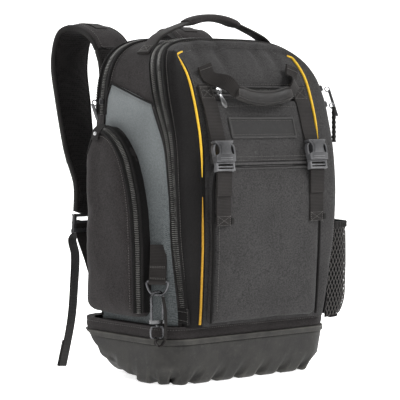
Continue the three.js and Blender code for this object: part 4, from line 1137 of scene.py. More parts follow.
def back_channels(P, N):
    u, z = np.abs(P[:, 0]), P[:, 2]
    face = N[:, 1] > .5
    spine = np.exp(-((P[:, 0]) / 13) ** 4) * step01(z, 110, 140) * (1 - step01(z, 420, 450))
    cuts = sum(np.exp(-((z - 170 - 62 * i - u * .18) / 5) ** 2) for i in range(5)) * step01(u, 14, 22)
    swellings = 1.6 * np.abs(np.sin((z - 170 - u * .18) * PI / 62)) * step01(u, 12, 30)
    return face * (-7 * spine - 4.2 * cuts + swellings) + .5 * wrinkle(P, 30, 1, 12)


triangulate_wide(ob)
bm = bmesh.new()
bm.from_mesh(ob.data)
face_edges = [e for e in bm.edges if e.verts[0].co.y > .088 and e.verts[1].co.y > .088]
bmesh.ops.subdivide_edges(bm, edges=face_edges, cuts=1, use_grid_fill=True)
bm.to_mesh(ob.data)
bm.free()
shade_smooth(ob.data)
move_along_normals(ob, back_channels)
rim = [(w, z) for w, z in ((0, 96), (88, 96), (122, 130), (122, 260), (122, 392), (96, 462), (34, 480))]
rim = rim + [(-w, z) for w, z in rim[:0:-1]]
C = catmull([(x, BACK + 3, z) for x, z in rim], 260, closed=True)
N = np.tile([0, 1.0, 0], (len(C), 1))
joined("back_panel_binding", [strip(C, N, circle(2.6, 10), closed=True)], WEB_SOFT, slot="cloth_black")

# Front pocket, flap, patch
POCKET = (108.5, 89.3, POCKET_TOP, 10, 24)
FLAP = (102.5, FLAP_BOTTOM, FLAP_TOP, 6, 14)
pad_piece("front_pocket_cloth", POCKET, pad_rows(POCKET_LIFT, 9, -3), front_place, FABRIC, ["front_pocket"],
          "cloth_black", 21, 1.0,
          sim=dict(cap=2.5, hold=lambda P: np.clip(1 - step01(P[:, 2], 290, 312), .15, 1)))
pad_piece("front_flap_cloth", FLAP, pad_rows(FLAP_LIFT, 6, -3), flap_place, FABRIC, ["front_flap"],
          "cloth_black", 25, .8)
C, N = path_on(flap_place, [(u, FLAP_BOTTOM + 1.0) for u in (-97, 0, 97)], FLAP_LIFT + .6)
hem = [strip(C, N, [(-1.6, -1), (-1.9, 0), (-1.2, 1.1), (1.2, 1.1), (1.9, 0), (1.6, -1)])]
C, N = path_on(front_place, [(u, POCKET_TOP - 2.5) for u in (-92, 0, 92)], POCKET_LIFT - 3)
hem.append(strip(C, N, [(-2.6, -1), (-2.8, 1), (-1.5, 2.4), (1.5, 2.4), (2.8, 1), (2.6, -1)]))
joined("front_hems", hem, FABRIC, slot="cloth_black")
edge = [(-106.5, 92), (-107, 180), (-107, 285), (-102, 304), (-86, 312), (-40, 313), (0, 313)]
edge += [(-u, z) for u, z in edge[-2::-1]]
C, N = path_on(front_place, edge, POCKET_LIFT - 2.4, 260)
joined("front_pocket_binding", [strip(C, N, circle(2.0, 10))], FABRIC_DARK, slot="cloth_black")
parts = []
for z in (FLAP_BOTTOM + 6, FLAP_BOTTOM + 11):
    parts.append(stitches(*path_on(flap_place, [(-96, z), (0, z), (96, z)], FLAP_LIFT + .9)))
side_seam = [(-98, POCKET_TOP - 18), (-99, POCKET_TOP - 60), (-99, 110)]
parts.append(stitches(*path_on(front_place, side_seam, POCKET_LIFT + 1.0)))
top_seam = [(-92, FLAP_TOP - 9), (0, FLAP_TOP - 7), (92, FLAP_TOP - 9)]
parts.append(stitches(*path_on(flap_place, top_seam, FLAP_LIFT + 1.0)))
piece("front_stitches", *merge(parts), THREAD)


def patch_place(u, z, lift):
    return (u, outer_y(z) - lift, z)


PATCH_FORM = (66, 354, 385, 3.5, 3.5)
PATCH_ROWS = [(0, -2), (0, 1.6), (.3, 2.6), (1.0, 3.2), (2.2, 3.4), (3.2, 3.1), (3.8, 2.2), (4.4, 1.9),
              (7, 1.9)]
P, F = pad(PATCH_FORM, PATCH_ROWS, patch_place, corner=8, side=10)
piece("patch_plate", P, F, PATCH, replaces=["patch"], slot="plastic_black", sharp=60)
parts = [stitches(*path_on(patch_place, pts, 2.0, 60), pitch=3.0, length=2.1, radius=.3)
         for pts in ([(-60, 379.5), (0, 379.5), (60, 379.5)], [(-60, 359.5), (0, 359.5), (60, 359.5)])]
piece("patch_stitches", *merge(parts), THREAD)

# Top pocket zip and pull
zs = [(u, SLIT) for u in (-101, -50, 0, 50, 86)]
C, N = path_on(front_place, zs, .9)
joined("top_pocket_tape", [strip(C, N, [(-5, -.8), (-5.2, .5), (-3.4, .7), (3.4, .7), (5.2, .5), (5, -.8)])],
       TAPE, replaces=["top_pocket_zip"], slot="zip_black")
piece("top_pocket_coil", *teeth(C, N, 4.8, 2.1, .6, 1.0), COIL, slot="zip_black")
lips = []
for dz in (-6.2, 6.2):
    C, N = path_on(front_place, [(u, z + dz) for u, z in zs], 1.0)
    lips.append(strip(C, N, circle(1.7, 8)))
joined("top_pocket_lips", lips, FABRIC, slot="cloth_black")
parts = [stitches(*path_on(front_place, [(u, z + dz) for u, z in zs], .6)) for dz in (-10, 10)]
piece("top_pocket_stitches", *merge(parts), THREAD)


def slider_at(c, n, t, size=1.0):
    """A zip slider: a waisted body with a bridge."""
    b = np.cross(t, n)
    M = np.eye(4)
    M[:3, 0], M[:3, 1], M[:3, 2], M[:3, 3] = b, -n, t, c
    waist = [(-4, -4), (4, -4), (4.6, 3), (2.6, 6), (-2.6, 6), (-4.6, 3)]
    body = plate([(u * size, v * size) for u, v in waist], -2.2 * size, 1.2 * size)
    bridge = plate([(u * size, v * size) for u, v in ((-1.4, -3), (1.4, -3), (1.4, 3.4), (-1.4, 3.4))],
                   -4.4 * size, -2.0 * size)
    return [transformed(body, M), transformed(bridge, M)]


C, N = path_on(front_place, [(-76, SLIT), (-70, SLIT), (-64, SLIT)], 1.8, 2)
parts = slider_at(C[1], N[1], np.array([-1.0, 0, 0]))
bevelled(joined("top_pocket_slider", parts, SILVER, slot="silver"), .5)
zp = SLIT - 5
y0 = float(front_y(zp))
outline_pull = [(-2.2, 0), (2.2, 0), (3.2, -6), (4.8, -13), (4.6, -17), (2.8, -20.5), (0, -21.5),
                (-2.8, -20.5), (-4.6, -17), (-4.8, -13), (-3.2, -6)]
lean = math.atan2(outer_y(zp - 20) - y0, 20)
M = Matrix.Translation((-70, y0 - 2.4, zp)) @ Matrix.Rotation(lean * .6, 4, "X")
M = M @ Matrix.Rotation(math.radians(-20), 4, "Y")
ob = joined("top_pocket_pull_plate", [transformed(plate(outline_pull, -2.2, 0), M)], SILVER,
            replaces=["top_pocket_pull"], slot="silver")
bevelled(ob, .6)
link = [(-70 + 3 * math.sin(a), y0 - 3, zp + 1.5 + 3 * math.cos(a)) for a in np.linspace(0, 2 * PI, 9)[:-1]]
ring = strip(catmull(link, 24, closed=True), np.tile([0, -1.0, 0], (24, 1)), circle(.7, 6), closed=True)
joined("top_pocket_link", [ring], SILVER, slot="silver")


def hung_pull(name, path, normal, at_z, side, out, drop, width, braided):
    """A slider on a zip with a ring and a hanging pull."""
    near = np.argmin(np.abs(path[:, 2] - at_z) + 1000 * (path[:, 0] * side < 0))
    c, n, t = path[near], normal[near], tangents(path)[near]
    if t[2] < 0:
        t = -t
    bevelled(joined(f"{name}_slider", slider_at(c + n * 2.4, n, t, .9), PLASTIC_DARK, slot="gunmetal"), .4)
    a = c + n * 12 + [4.0 * side, 0, -2.0]
    loop = [a + n * 4.2 * math.cos(q) + t * 4.2 * math.sin(q) for q in np.linspace(0, 2 * PI, 13)[:-1]]
    ring = strip(catmull(loop, 36, closed=True), np.tile(unit(np.cross(n, t)), (36, 1)), circle(.9, 7),
                 closed=True)
    joined(f"{name}_ring", [ring], GUN, slot="gunmetal")
    start, end = a + n * 3.6 + [0, 0, -2.0], a + n * out + [0, 0, -drop]
    line = np.linspace(start, end, 30)
    facing = np.tile(unit(np.cross(end - start, np.cross(n, t))), (30, 1))
    if braided:
        swing = 1 + .16 * np.sin(np.arange(30) * 1.6)
        joined(f"{name}_cord", [strip(line, facing, circle(width / 2, 10), scale=swing)], WEB_SOFT,
               slot="webbing")
    else:
        joined(f"{name}_plate", [strip(line, facing, ribbon_section(width, 2.0))], PLASTIC_DARK,
               slot="gunmetal")


hung_pull("right_pull_upper", *PULLS[1], 424, 1, 20, 44, 5.5, False)
hung_pull("right_pull_lower", *PULLS[1], 404, 1, 5, 56, 6.5, True)
hung_pull("left_pull", *PULLS[0], 404, -1, -6, 24, 6, False)


# Compression straps and buckles
def web_strip(x, top, bottom, lift=0.0, width=28.0, thick=2.0):
    """Webbing down the front at x, following what lies under it."""
    z = np.linspace(top, bottom, max(12, int((top - bottom) / 3)))
    y = np.array([strap_y(v) for v in z])
    y = np.convolve(np.pad(y, 3, mode="edge"), np.ones(7) / 7, mode="valid")
    C = np.stack([np.full(len(z), x), y - WEB_OFF - lift, z], -1)
    T = tangents(C)
    N = unit(np.cross(T, np.tile([-1.0, 0, 0], (len(C), 1))))
    N[N[:, 1] > 0] *= -1
    return strip(C, N, ribbon_section(width, thick)), C, N


def box_stitch(C, N, i0, i1, half):
    """A sewn box with a cross between two places on a band."""
    T, a, b = tangents(C), C[i0], C[i1]
    B = np.cross(T, N)
    u = B[i0] * half
    corners = [a - u, a + u, b + u, b - u]
    parts = []
    n = unit(N[i0] + N[i1])
    for p, q in ((0, 1), (1, 2), (2, 3), (3, 0), (0, 2), (1, 3)):
        line = np.linspace(corners[p], corners[q], 12)
        parts.append(stitches(line + n * 1.05, np.tile(n, (12, 1)), pitch=3.0, length=2.1, radius=.33))
    return parts


for word, s in SIDES:
    x = s * STRAP_X
    part, C, N = web_strip(x, SLIT + 8.5, BUCKLE_TOP - 10)
    webbing(f"front_strap_upper_{word}", part)
    sew = box_stitch(C, N, 1, 6, 11)
    part2, C2, N2 = web_strip(x, BUCKLE_LOW + 2, 232, lift=2.4)
    fold, _, _ = web_strip(x, BUCKLE_LOW - 3, BUCKLE_LOW - LADDER_H - 34, lift=4.4, width=29)
    webbing(f"front_strap_lower_{word}", part2, fold)
    end = box_stitch(C2, N2, len(C2) - 5, len(C2) - 1, 12)
    piece(f"front_strap_stitches_{word}", *merge(sew + end), THREAD)
    # Keeper tab beside the strap's end
    part, _, _ = web_strip(x + 17, 242, 233, lift=2.6, width=5, thick=1.4)
    joined(f"front_strap_keeper_{word}", [part], WEB_SOFT, slot="webbing")

    upper, lower = outer_y(BUCKLE_TOP), outer_y(BUCKLE_LOW - LADDER_H)
    angle = math.atan2(lower - upper, BUCKLE_TOP - (BUCKLE_LOW - LADDER_H))
    M = Matrix.Translation((x, upper - BUCKLE_OFF, BUCKLE_TOP)) @ Matrix.Rotation(angle, 4, "X")
    h = BUCKLE_W / 2
    side = [(.84, 0), (.8, -3), (.62, -6), (.54, -10), (.54, -15), (.62, -19), (.9, -21), (.84, -30)]
    rim_pts = [(-h * .84, 0)] + [(h * u, v) for u, v in side] + [(-h * u, v) for u, v in side[:0:-1]]
    body = plate(rim_pts, -BUCKLE_T, 0)
    prong = [(.7, -4.5), (.9, -5.5), (1, -10), (1, -17), (.93, -22), (.8, -22), (.86, -16), (.84, -10)]
    prongs = [plate([(q * h * u, v) for u, v in prong], -BUCKLE_T * .8, -BUCKLE_T * .2) for q in (-1, 1)]
    ridges = [plate([(-h * .56, v), (h * .56, v), (h * .56, v - 1.2), (-h * .56, v - 1.2)],
                    -BUCKLE_T - .7, -BUCKLE_T + 1) for v in (-24, -27)]
    crown = plate([(-h * .66, -.6), (h * .66, -.6), (h * .4, -6), (h * .34, -12), (h * .42, -19),
                   (-h * .42, -19), (-h * .34, -12), (-h * .4, -6)], -BUCKLE_T - .8, -BUCKLE_T + 1)
    ob = joined(f"buckle_{word}_shell", [transformed(p, M) for p in [body, *prongs, *ridges, crown]], PLASTIC,
                replaces=[f"buckle_{word}"], slot="plastic_black")
    bevelled(ob, 1.0, 3)
    hw = BUCKLE_W * .42
    M2 = M @ Matrix.Translation((0, 0, -BUCKLE_H))
    bars = [block(-hw, hw, -6.4, -.6, -2.8, -.3), block(-hw, hw, -5.6, -1.2, -8, -5.8),
            block(-hw, hw, -6.8, -.6, -13, -10.2), block(-hw, -hw + 3.4, -6.6, -.6, -13, -.3),
            block(hw - 3.4, hw, -6.6, -.6, -13, -.3)]
    ob = joined(f"buckle_ladder_{word}_frame", [transformed(p, M2) for p in bars], PLASTIC,
                replaces=[f"buckle_ladder_{word}"], slot="plastic_black")
    bevelled(ob, .8, 2)


# Handles
def rounded(w, t, count=20, power=3.0):
    """A section between a rectangle and an ellipse."""
    pts = []
    for i in range(count):
        a = 2 * PI * i / count
        c, s_ = math.cos(a), math.sin(a)
        pts.append((w / 2 * math.copysign(abs(c) ** (2 / power), c),
                    t / 2 * math.copysign(abs(s_) ** (2 / power), s_)))
    return pts


grip_y = float(front_y(421)) - 24
rows = [((k * 54, grip_y, 412 + 9 * k * k), (0, .3, 1)) for k in (-1, -.5, 0, .5, 1)]
C, N = rows_path(rows, 60)
section = []
for u in np.linspace(-10.5, 10.5, 25):
    section.append((u, 3.6 + 1.9 * abs(math.cos(u / 7 * PI / 2)) ** .6 if abs(u) < 9.5 else 2.4))
section = [(-10.8, 0)] + section + [(10.8, 0)] + [(u, -4.6) for u in np.linspace(9.6, -9.6, 9)]
ends = np.minimum(1, .82 + .18 * np.minimum(np.arange(61), np.arange(61)[::-1]) / 4)
joined("front_grip_rubber", [strip(C, N, section, scale=ends)], GRIP, replaces=["front_grip"], slot="rubber",
       sharp=50)
for word, s in SIDES:
    root = float(front_y(450))
    rows = [((s * 89, root - 2.6, 459), (s * .95, 0, -.3)), ((s * 83, root - 7, 442), (s * .85, 0, -.5)),
            ((s * 68, grip_y + 4, 433), (s * .6, .1, -.8)), ((s * 54.3, grip_y, 421), (s * .1, .2, -1)),
            ((s * 44, grip_y, 419), (s * .05, .25, -1))]
    C, N = rows_path(rows, 40, (0, -1, 0))
    width = np.interp(np.linspace(0, 1, 41), (0, .4, .7, 1), (1, .95, .72, .6))
    webbing(f"front_handle_{word}", strip(C, N, ribbon_section(26, 3.0), scale=width))
    across = np.cross(tangents(C)[3], N[3]) * 10
    line = np.linspace(C[3] - across, C[3] + across, 12) + N[3] * 1.7
    piece(f"front_handle_stitches_{word}", *stitches(line, np.tile(N[3], (12, 1)), pitch=2.8), THREAD)


def outline_z(x0):
    """Height of the body's arch at a half width."""
    x, z, _, _ = outline(BAND_TOP)
    return float(np.interp(-x0, -x[60:], z[60:]))


rows = [((k * 50, -8, CROWN - 9 * k * k), (0, 1, 0)) for k in (-1, -.5, 0, .5, 1)]
C, N = rows_path(rows, 60, (0, 0, 1))
ends = np.minimum(1, .8 + .2 * np.minimum(np.arange(61), np.arange(61)[::-1]) / 5)
joined("top_grip_pad", [strip(C, N, rounded(29, 11.5, 28, 2.6), scale=ends)], FABRIC_SIDE,
       replaces=["top_grip"], slot="rubber")
for word, s in SIDES:
    rows = [((s * 133, -8, outline_z(133) + 1.4), (0, 1, 0)), ((s * 119, -8, outline_z(119) + 4), (0, 1, 0)),
            ((s * 105, -8, outline_z(119) + 17), (0, 1, 0)), ((s * 50, -8, CROWN - 9), (0, 1, 0)),
            ((s * 38, -8, CROWN - 5.4), (0, 1, 0))]
    C, N = rows_path(rows, 60, (0, 0, 1))
    width = np.interp(np.linspace(0, 1, 61), (0, .45, .75, 1), (1, .95, .85, .8))
    webbing(f"top_handle_{word}", strip(C, N, rounded(27, 4.4, 24, 4), scale=width))
    piece(f"top_handle_stitches_{word}", *merge(box_stitch(C + N * 1.1, N, 3, 12, 9)), THREAD)


# Side pocket on the left
def side_face(z):
    return float(outline_x(z)) + 1.9


FRONT_EDGE = np.array([(98, -64), (200, -64), (250, -59), (276, -53), (299, -45), (327, -33), (345, -22),
                       (368, -8)])


def left_place(u, z, lift):
    """A place on the left side; the pocket's front edge leans back as it rises."""
    front = np.interp(z, FRONT_EDGE[:, 0], FRONT_EDGE[:, 1])
    return (-(side_face(z) + lift), 56 + (u - 60) * (56 - front) / 120, z)


SIDE = (60, 98, 368, 16, 46)
rows = [(0, -6), (0, 0), (0, 6), (0, 12), (.4, 15), (1.6, 18.5), (3.6, 21.6), (6.5, 24.2), (10, 26), (14, 27),
        (20, 27.6), (27, 28)]
pad_piece("side_pocket_cloth", SIDE, rows, left_place, FABRIC_SIDE, ["side_pocket"], "cloth_black", 31, 1.0,
          sim=dict(cap=5.0, hold=lambda P: step01(-P[:, 0], 168, 184)), cross=44)
loop = [(-57.5, 106), (-57.8, 200), (-57.5, 300), (-56, 326), (-49, 343), (-36, 356), (-18, 363.5), (4, 365),
        (26, 362), (44, 350), (55, 330)]
C, N = path_on(left_place, loop, 21.5, 200)
wide = [(u * 1.05, z + 1.5) for u, z in catmull([(u, z, 0) for u, z in loop], 200)[:, :2]]
aside = np.array([left_place(u, z, 21.5) for u, z in wide]) - C
N = unit(unit(N) + 1.1 * unit(aside))
C, N = resample(C, N, 3.0)
joined("side_pocket_tape", [strip(C, N, [(-6, -2), (-6, .3), (6, .3), (6, -2)])], TAPE,
       replaces=["side_pocket_zip"], slot="zip_black")
piece("side_pocket_coil", *teeth(C, N, 6.0, 2.6, .8, .7), COIL, slot="zip_black")
B = np.cross(tangents(C), N)
joined("side_pocket_piping", [strip(C + B * d, N, circle(1.8, 8)) for d in (-7.2, 7.2)], FABRIC_DARK,
       slot="cloth_black")
rows = [np.array([left_place(u * grow, z + (grow - 1) * 60 * step01(z, 300, 366), lift) for u, z in
                  catmull([(u, z, 0) for u, z in loop], 160)[:, :2]])
        for grow, lift in ((1.062, -2), (1.066, 4), (1.066, 9), (1.062, 14), (1.05, 18.4), (1.03, 20))]
P = np.concatenate(rows)
piece("side_pocket_gusset", P, grid_faces(len(rows), len(rows[0])), FABRIC_DARK, slot="cloth_black")
seam = [(-47, 112), (-47, 200), (-47, 300), (-43, 326), (-33, 344), (-16, 353), (4, 355), (28, 350)]
piece("side_pocket_stitches", *stitches(*path_on(left_place, seam, 28.6)), THREAD)
# Pull tab of cloth with a bright rivet
tab_rows = [(left_place(6, 371, 14), (0, 1, .2)), (left_place(8, 368, 22), (0, 1, .2)),
            (left_place(12, 361, 29), (0, 1, .3)), (left_place(16, 350, 31), (0, 1, .3))]
C, N = rows_path(tab_rows, 16, (-1, 0, 0))
joined("side_pocket_tab", [strip(C, N, ribbon_section(15, 2.2))], WEB_SOFT, slot="webbing")
dome = [(0, 2.0), (1.6, 1.7), (2.7, .9), (3.0, 0), (2.6, -.6)]
T = tangents(C)[12]
P = [C[12] + N[12] * (1.2 + h) + np.cross(T, N[12]) * r * math.cos(a) + T * r * math.sin(a)
     for r, h in dome for a in np.linspace(0, 2 * PI, 17)[:-1]]
piece("side_pocket_rivet", P, grid_faces(len(dome), 16, wrap=True), SILVER, slot="silver")


# Mesh bottle pocket on the right
def net_point(t, z):
    """A place on the net at share t round it and a height."""
    lift = MESH_LIFT * float(np.interp(z, (78, 84, 94, 108, 160, 217), (.62, .84, .98, 1.06, 1.04, .96)))
    a = (t - .5) * PI
    c, s_ = math.cos(a), math.sin(a)
    u = MESH_HALF * math.copysign(abs(s_) ** .5, s_)
    out = -1 + (lift + 1) * abs(c) ** .5
    x = side_face(max(z, 92)) + out
    y = MESH_Y + u
    limit = float(seam_y(z)) + 2
    if y < limit:
        x = max(x, float(side_x(limit, z)) + 3)
    return np.array([x, y, z])


def around_net(z, count=200):
    """Points round the net at a height, and their distances along it."""
    P = np.array([net_point(v, z) for v in np.linspace(0.0, 1.0, count)])
    return lengths(P), P


ROWS, CELLS = 22, 30
grid = np.empty((ROWS, 2 * CELLS + 1, 3))
for i, z in enumerate(np.linspace(MESH_LOW, MESH_TOP, ROWS)):
    at, P = around_net(z)
    for k in range(3):
        grid[i, :, k] = np.interp(np.linspace(0, at[-1], 2 * CELLS + 1), at, P[:, k])
parts = []
for i in range(ROWS - 1):
    for j in range(i % 2, 2 * CELLS, 2):
        for dj in (1, -1):
            k = j + dj
            if not 0 <= k <= 2 * CELLS:
                continue
            a, b = grid[i, j], grid[i + 1, k]
            d = unit(b - a)
            out = unit(a - np.array([150.0, MESH_Y, a[2]]))
            side = unit(np.cross(d, out))
            pts = [q + side * u * .95 + out * v * .6 for q in (a - d * .3, b + d * .3)
                   for u, v in ((-1, 0), (0, 1), (1, 0), (0, -1))]
            parts.append((pts, grid_faces(2, 4, wrap=True)))
piece("mesh_pocket_net", *merge(parts), NET, replaces=["mesh_pocket"], slot="mesh_black")
# A dark sheet 2.4 mm inside the net: painted shade in the pocket behind the threads.
shade_sheet = grid + unit(np.array([120.0, MESH_Y, 0]) - grid * [1, 1, 0]) * 2.4
piece("mesh_pocket_shade_sheet", shade_sheet.reshape(-1, 3), grid_faces(ROWS, 2 * CELLS + 1), SHADE_SHEET, slot="mesh_black")


def net_rim(z):
    """A path round the net at a height, with outward directions."""
    C = around_net(z, 160)[1][2:-2]
    return C, unit((C - np.array([140.0, MESH_Y, 0])) * [1, 1, 0])


C, N = net_rim(220)
ripple = np.sin(np.arange(len(C)) * 1.3) * .5
gathered = [(-4.4, -1.2), (-4.8, 0), (-4.2, 1.4), (-2, 1.8), (0, 1.2), (2, 1.8), (4.2, 1.4), (4.8, 0),
            (4.4, -1.2)]
hem = [strip(C + N * (ripple[:, None] + .6), N, gathered)]
joined("mesh_hem_elastic", hem, WEB_SOFT, replaces=["mesh_hem"], slot="cloth_black")
low = [strip(*net_rim(80), circle(2.0, 8))]
joined("mesh_pocket_foot", low, FABRIC_DARK, slot="cloth_black")

# Shoulder straps: the padded strap's route and its tail's, as shares across, back and up, and of the width
ROUTE = [(.53, .18, .879, 1), (.53, .23, .94, 1), (.542, .39, 1.004, 1), (.572, .68, 1.036, 1),
         (.608, .915, 1.02, 1), (.632, 1, .935, 1), (.657, .87, .805, .95), (.692, .68, .662, .82),
         (.746, .46, .56, .6), (.805, .39, .475, .5)]
TAIL = [(.876, .48, .4), (.892, .4, .35), (.946, .32, .272), (.982, .31, .161), (1.054, .36, .018)]


def strap_place(row, s=1):
    return np.array([s * HALF * row[0], BACK + STRAP_REACH * row[1], BODY_TOP * row[2]])


hang = unit(strap_place(ROUTE[-1]) - strap_place(ROUTE[-2]))


def on_hang(s, d, behind=0.0):
    """A place below the padded strap's end, at distance d along its hang."""
    end = strap_place(ROUTE[-1]) + hang * d
    return np.array([s * end[0], end[1] + behind, end[2]])


def strap_path(s, steps=110):
    """The padded strap's path, its outward directions and its width as shares."""
    rows = [(strap_place(r, s), (1, -s * .1, 0)) for r in ROUTE]
    C, N = rows_path(rows, steps)
    inside = np.array([s * 100, 60, 380.0])
    N[(N * (C - inside)).sum(-1) < 0] *= -1
    w = np.interp(np.linspace(0, len(ROUTE) - 1, steps + 1), range(len(ROUTE)), [r[3] for r in ROUTE])
    return C, N, w


def hang_bar(s, d0, d1, w0, w1, thick):
    """A bar of the adjuster, between two distances along the hang."""
    n = unit(np.cross(hang * [s, 1, 1], [1.0, 0, 0]))
    n = n if n[1] > 0 else -n
    return [on_hang(s, d) + np.array([w, 0, 0]) + n * t
            for d in (d0, d1) for w in (w0, w1) for t in (-thick / 2, thick / 2)], BOX_FACES


for word, s in SIDES:
    C, N, w = strap_path(s)
    T = tangents(C)
    B = np.cross(T, N)
    count = 44
    round_edge = np.array(rounded(1, 1, count, 3.2))
    P = []
    for i in range(len(C)):
        thick = SHOULDER_T * (.55 if i in (0, len(C) - 1) else 1)
        for u, v in round_edge:
            crown = 1 + .12 * (1 - (2 * u) ** 2)
            P.append(C[i] + B[i] * u * (SHOULDER_W * w[i] - 3) + N[i] * v * thick * crown)
    faces = grid_faces(len(C), count, wrap=True)
    ring_ids = [0 if round_edge[j][1] + round_edge[(j + 1) % count][1] > -.02 else 1 for j in range(count)]
    faces += [tuple(range(count))[::-1], tuple(range((len(C) - 1) * count, len(C) * count))]
    ids = ring_ids * (len(C) - 1) + [0, 0]
    ob = piece(f"shoulder_strap_{word}_pad", P, faces, [FABRIC_SIDE, SPACER], ids=ids,
               replaces=[f"shoulder_strap_{word}"], slot="cloth_black", sharp=70)
    move_along_normals(ob, lambda P, N: wrinkle(P, 30, .9, 41) + wrinkle(P, 12, .35, 42))
    edges, sews = [], []
    for q in (-1, 1):
        E = C + B * (q * (SHOULDER_W * w[:, None] - 3) / 2)
        edges.append(strip(E, unit(B * q), [(u, v * .45) for u, v in circle(4.4, 12)]))
        S = C + B * (q * (SHOULDER_W * w[:, None] / 2 - 9)) + N * 6.3
        sews.append(stitches(S[4:-4], N[4:-4], pitch=4.0))
    joined(f"shoulder_strap_{word}_binding", edges, WEB_SOFT, slot="cloth_black")
    # Webbing sewn down the strap's outer face, with bars across it
    ok = slice(30, 109)
    web = strip(C[ok] + N[ok] * 7.1, N[ok], ribbon_section(WEB_W, 1.6))
    joined(f"shoulder_strap_{word}_web", [web], WEB, slot="webbing")
    for i in (52, 66, 80, 94):
        line = np.linspace(C[i] - B[i] * 11, C[i] + B[i] * 11, 12) + N[i] * 8.0
        for k in (-1.2, 0, 1.2):
            sews.append(stitches(line + T[i] * k, np.tile(N[i], (12, 1)), pitch=2.6, length=2.0, radius=.35))
    piece(f"shoulder_strap_{word}_stitches", *merge(sews), THREAD)

    # Adjuster, anchor and free end
    bars = [hang_bar(s, *bar) for bar in ((.6, 5, -19, 19, 6), (11, 15, -19, 19, 7), (23, 29, -19, 19, 8),
                                          (.6, 29, -19, -14, 6), (.6, 29, 14, 19, 6))]
    ob = joined(f"adjuster_{word}_frame", bars, PLASTIC_DARK, replaces=[f"adjuster_{word}"],
                slot="plastic_black")
    bevelled(ob, .9, 2)
    anchor = [on_hang(s, 12, -2), on_hang(s, 27)]
    anchor += [strap_place(r, s) for r in ((.822, .2, .338), (.837, .07, .29), (.843, .01, .272))]
    C, N = rows_path([(a, (1, 0, 0)) for a in anchor], 40, (0, 1, 0))
    webbing(f"strap_anchor_{word}", strip(C, N, ribbon_section(WEB_W, 2)))
    rows = [(on_hang(s, 12, 3.4), (1, 0, 0)), (on_hang(s, 26, 5), (1, 0, 0))]
    rows += [(strap_place(r, s), (.9, -s * .4, 0)) for r in TAIL]
    C, N = rows_path(rows, 90, (0, 1, 0))
    hem_line, hem_out = C[-9:] + N[-9:] * 1.9, N[-9:]
    webbing(f"strap_tail_{word}", strip(C, N, ribbon_section(WEB_W, 2)),
            strip(hem_line, hem_out, ribbon_section(WEB_W + .4, 1.9)))
    piece(f"strap_tail_{word}_stitches", *merge(box_stitch(hem_line, hem_out, 1, 7, 9)), THREAD)

# Sternum strap and its buckle
STERNUM = ((.843, .69, (0, .32, 1)), (.711, .74, (0, .32, 1)), (.42, .8, (0, .1, 1)), (.09, .81, (0, 0, 1)))
for word, s in SIDES:
    C, N = rows_path([(strap_place((q * s, k, .642)), t) for q, k, t in STERNUM], 50, (0, 1, 0))
    webbing(f"sternum_strap_{word}", strip(C, N, ribbon_section(20, 2)))
M = Matrix.Translation((0, BACK + STRAP_REACH * .81 + 4, 319)) @ Matrix.Rotation(PI / 2, 4, "Y")
body = [(-11, -15), (11, -15), (12, -11), (12, -6), (8, -4), (8, 6), (12, 8), (11, 15), (-11, 15), (-12, 8),
        (-8, 6), (-8, -4), (-12, -6), (-12, -11)]
parts = [plate(body, -8, 0), plate([(-11.6, -5), (-8.8, -4), (-8.8, 6), (-11.8, 6)], -6.4, -1.6),
         plate([(11.6, -5), (8.8, -4), (8.8, 6), (11.8, 6)], -6.4, -1.6)]
bevelled(joined("sternum_buckle_shell", [transformed(p, M) for p in parts], PLASTIC_DARK,
                replaces=["sternum_buckle"], slot="plastic_black"), .9, 2)

# Corner hardware
corner = Matrix.Translation((-170, -86.8, 0)) @ Matrix.Rotation(-.95, 4, "Z")
hook = corner @ Matrix.Translation((0, -1.8, 137.5)) @ Matrix.Rotation(.6, 4, "Z")


def wire(points, radius, steps, closed=False, matrix=Matrix(), sides=12):
    """A round wire along a curve, its section turned as little as possible."""
    C = catmull(points, steps, closed)
    T = tangents(C, closed)
    N = [np.array([0, 1.0, 0])]
    for t in T[1:]:
        N.append(unit(N[-1] - t * (N[-1] @ t)))
    return transformed(strip(C, np.array(N), circle(radius, sides), closed=closed), matrix)


tab = [(0, 4.8, 204), (0, 2.6, 178), (0, -1.4, 156), (0, -4.6, 151.5), (0, -1.8, 148.6), (0, 1.6, 151),
       (0, 2.2, 157)]
C, N = rows_path([(p, (1, 0, 0)) for p in tab], 60)
M = np.array(corner)
C, N = C @ M[:3, :3].T + M[:3, 3], N @ M[:3, :3].T
webbing("ring_tab", strip(C, N, ribbon_section(WEB_W, 2)))
out = unit(M[:3, :3] @ np.array([0, -1.0, 0]))
line = np.linspace(C[20] - M[:3, 0] * 10, C[20] + M[:3, 0] * 10, 12) + out * 1.2
rows = [stitches(line + [0, 0, dz], np.tile(out, (12, 1)), pitch=2.6, length=2, radius=.35)
        for dz in (-1.4, 0, 1.4, 16, 18)]
piece("ring_tab_stitches", *merge(rows), THREAD)
ring_pts = [(-15, 151.5), (0, 151.5), (15, 151.5), (14, 143.5), (8.2, 134.9), (0, 133.5), (-8.2, 134.9),
            (-14, 143.5)]
joined("d_ring_wire", [wire([(x, -1.8, z) for x, z in ring_pts], 1.75, 64, True, corner)], GUN,
       replaces=["d_ring"], slot="gunmetal")
hook_half = 8.5
spine = [(hook_half, 0, -9), (hook_half, 0, -5), (hook_half * .6, 0, -1), (0, 0, .2),
         (-hook_half * .6, 0, -1),
         (-hook_half, 0, -6), (-hook_half, 0, -20), (-hook_half, 0, -41)]
foot = transformed(block(-10.6, 10.6, -3, 3, -45, -40), hook)
joined("snap_hook_spine", [wire(spine, 2.1, 60, False, hook)[:2], foot], GUN, replaces=["snap_hook"],
       slot="gunmetal")
gate = wire([(hook_half, 0, -9.5), (hook_half, 0, -20), (hook_half, 0, -30), (hook_half, 0, -39.2)], 1.3, 16,
            False, hook)
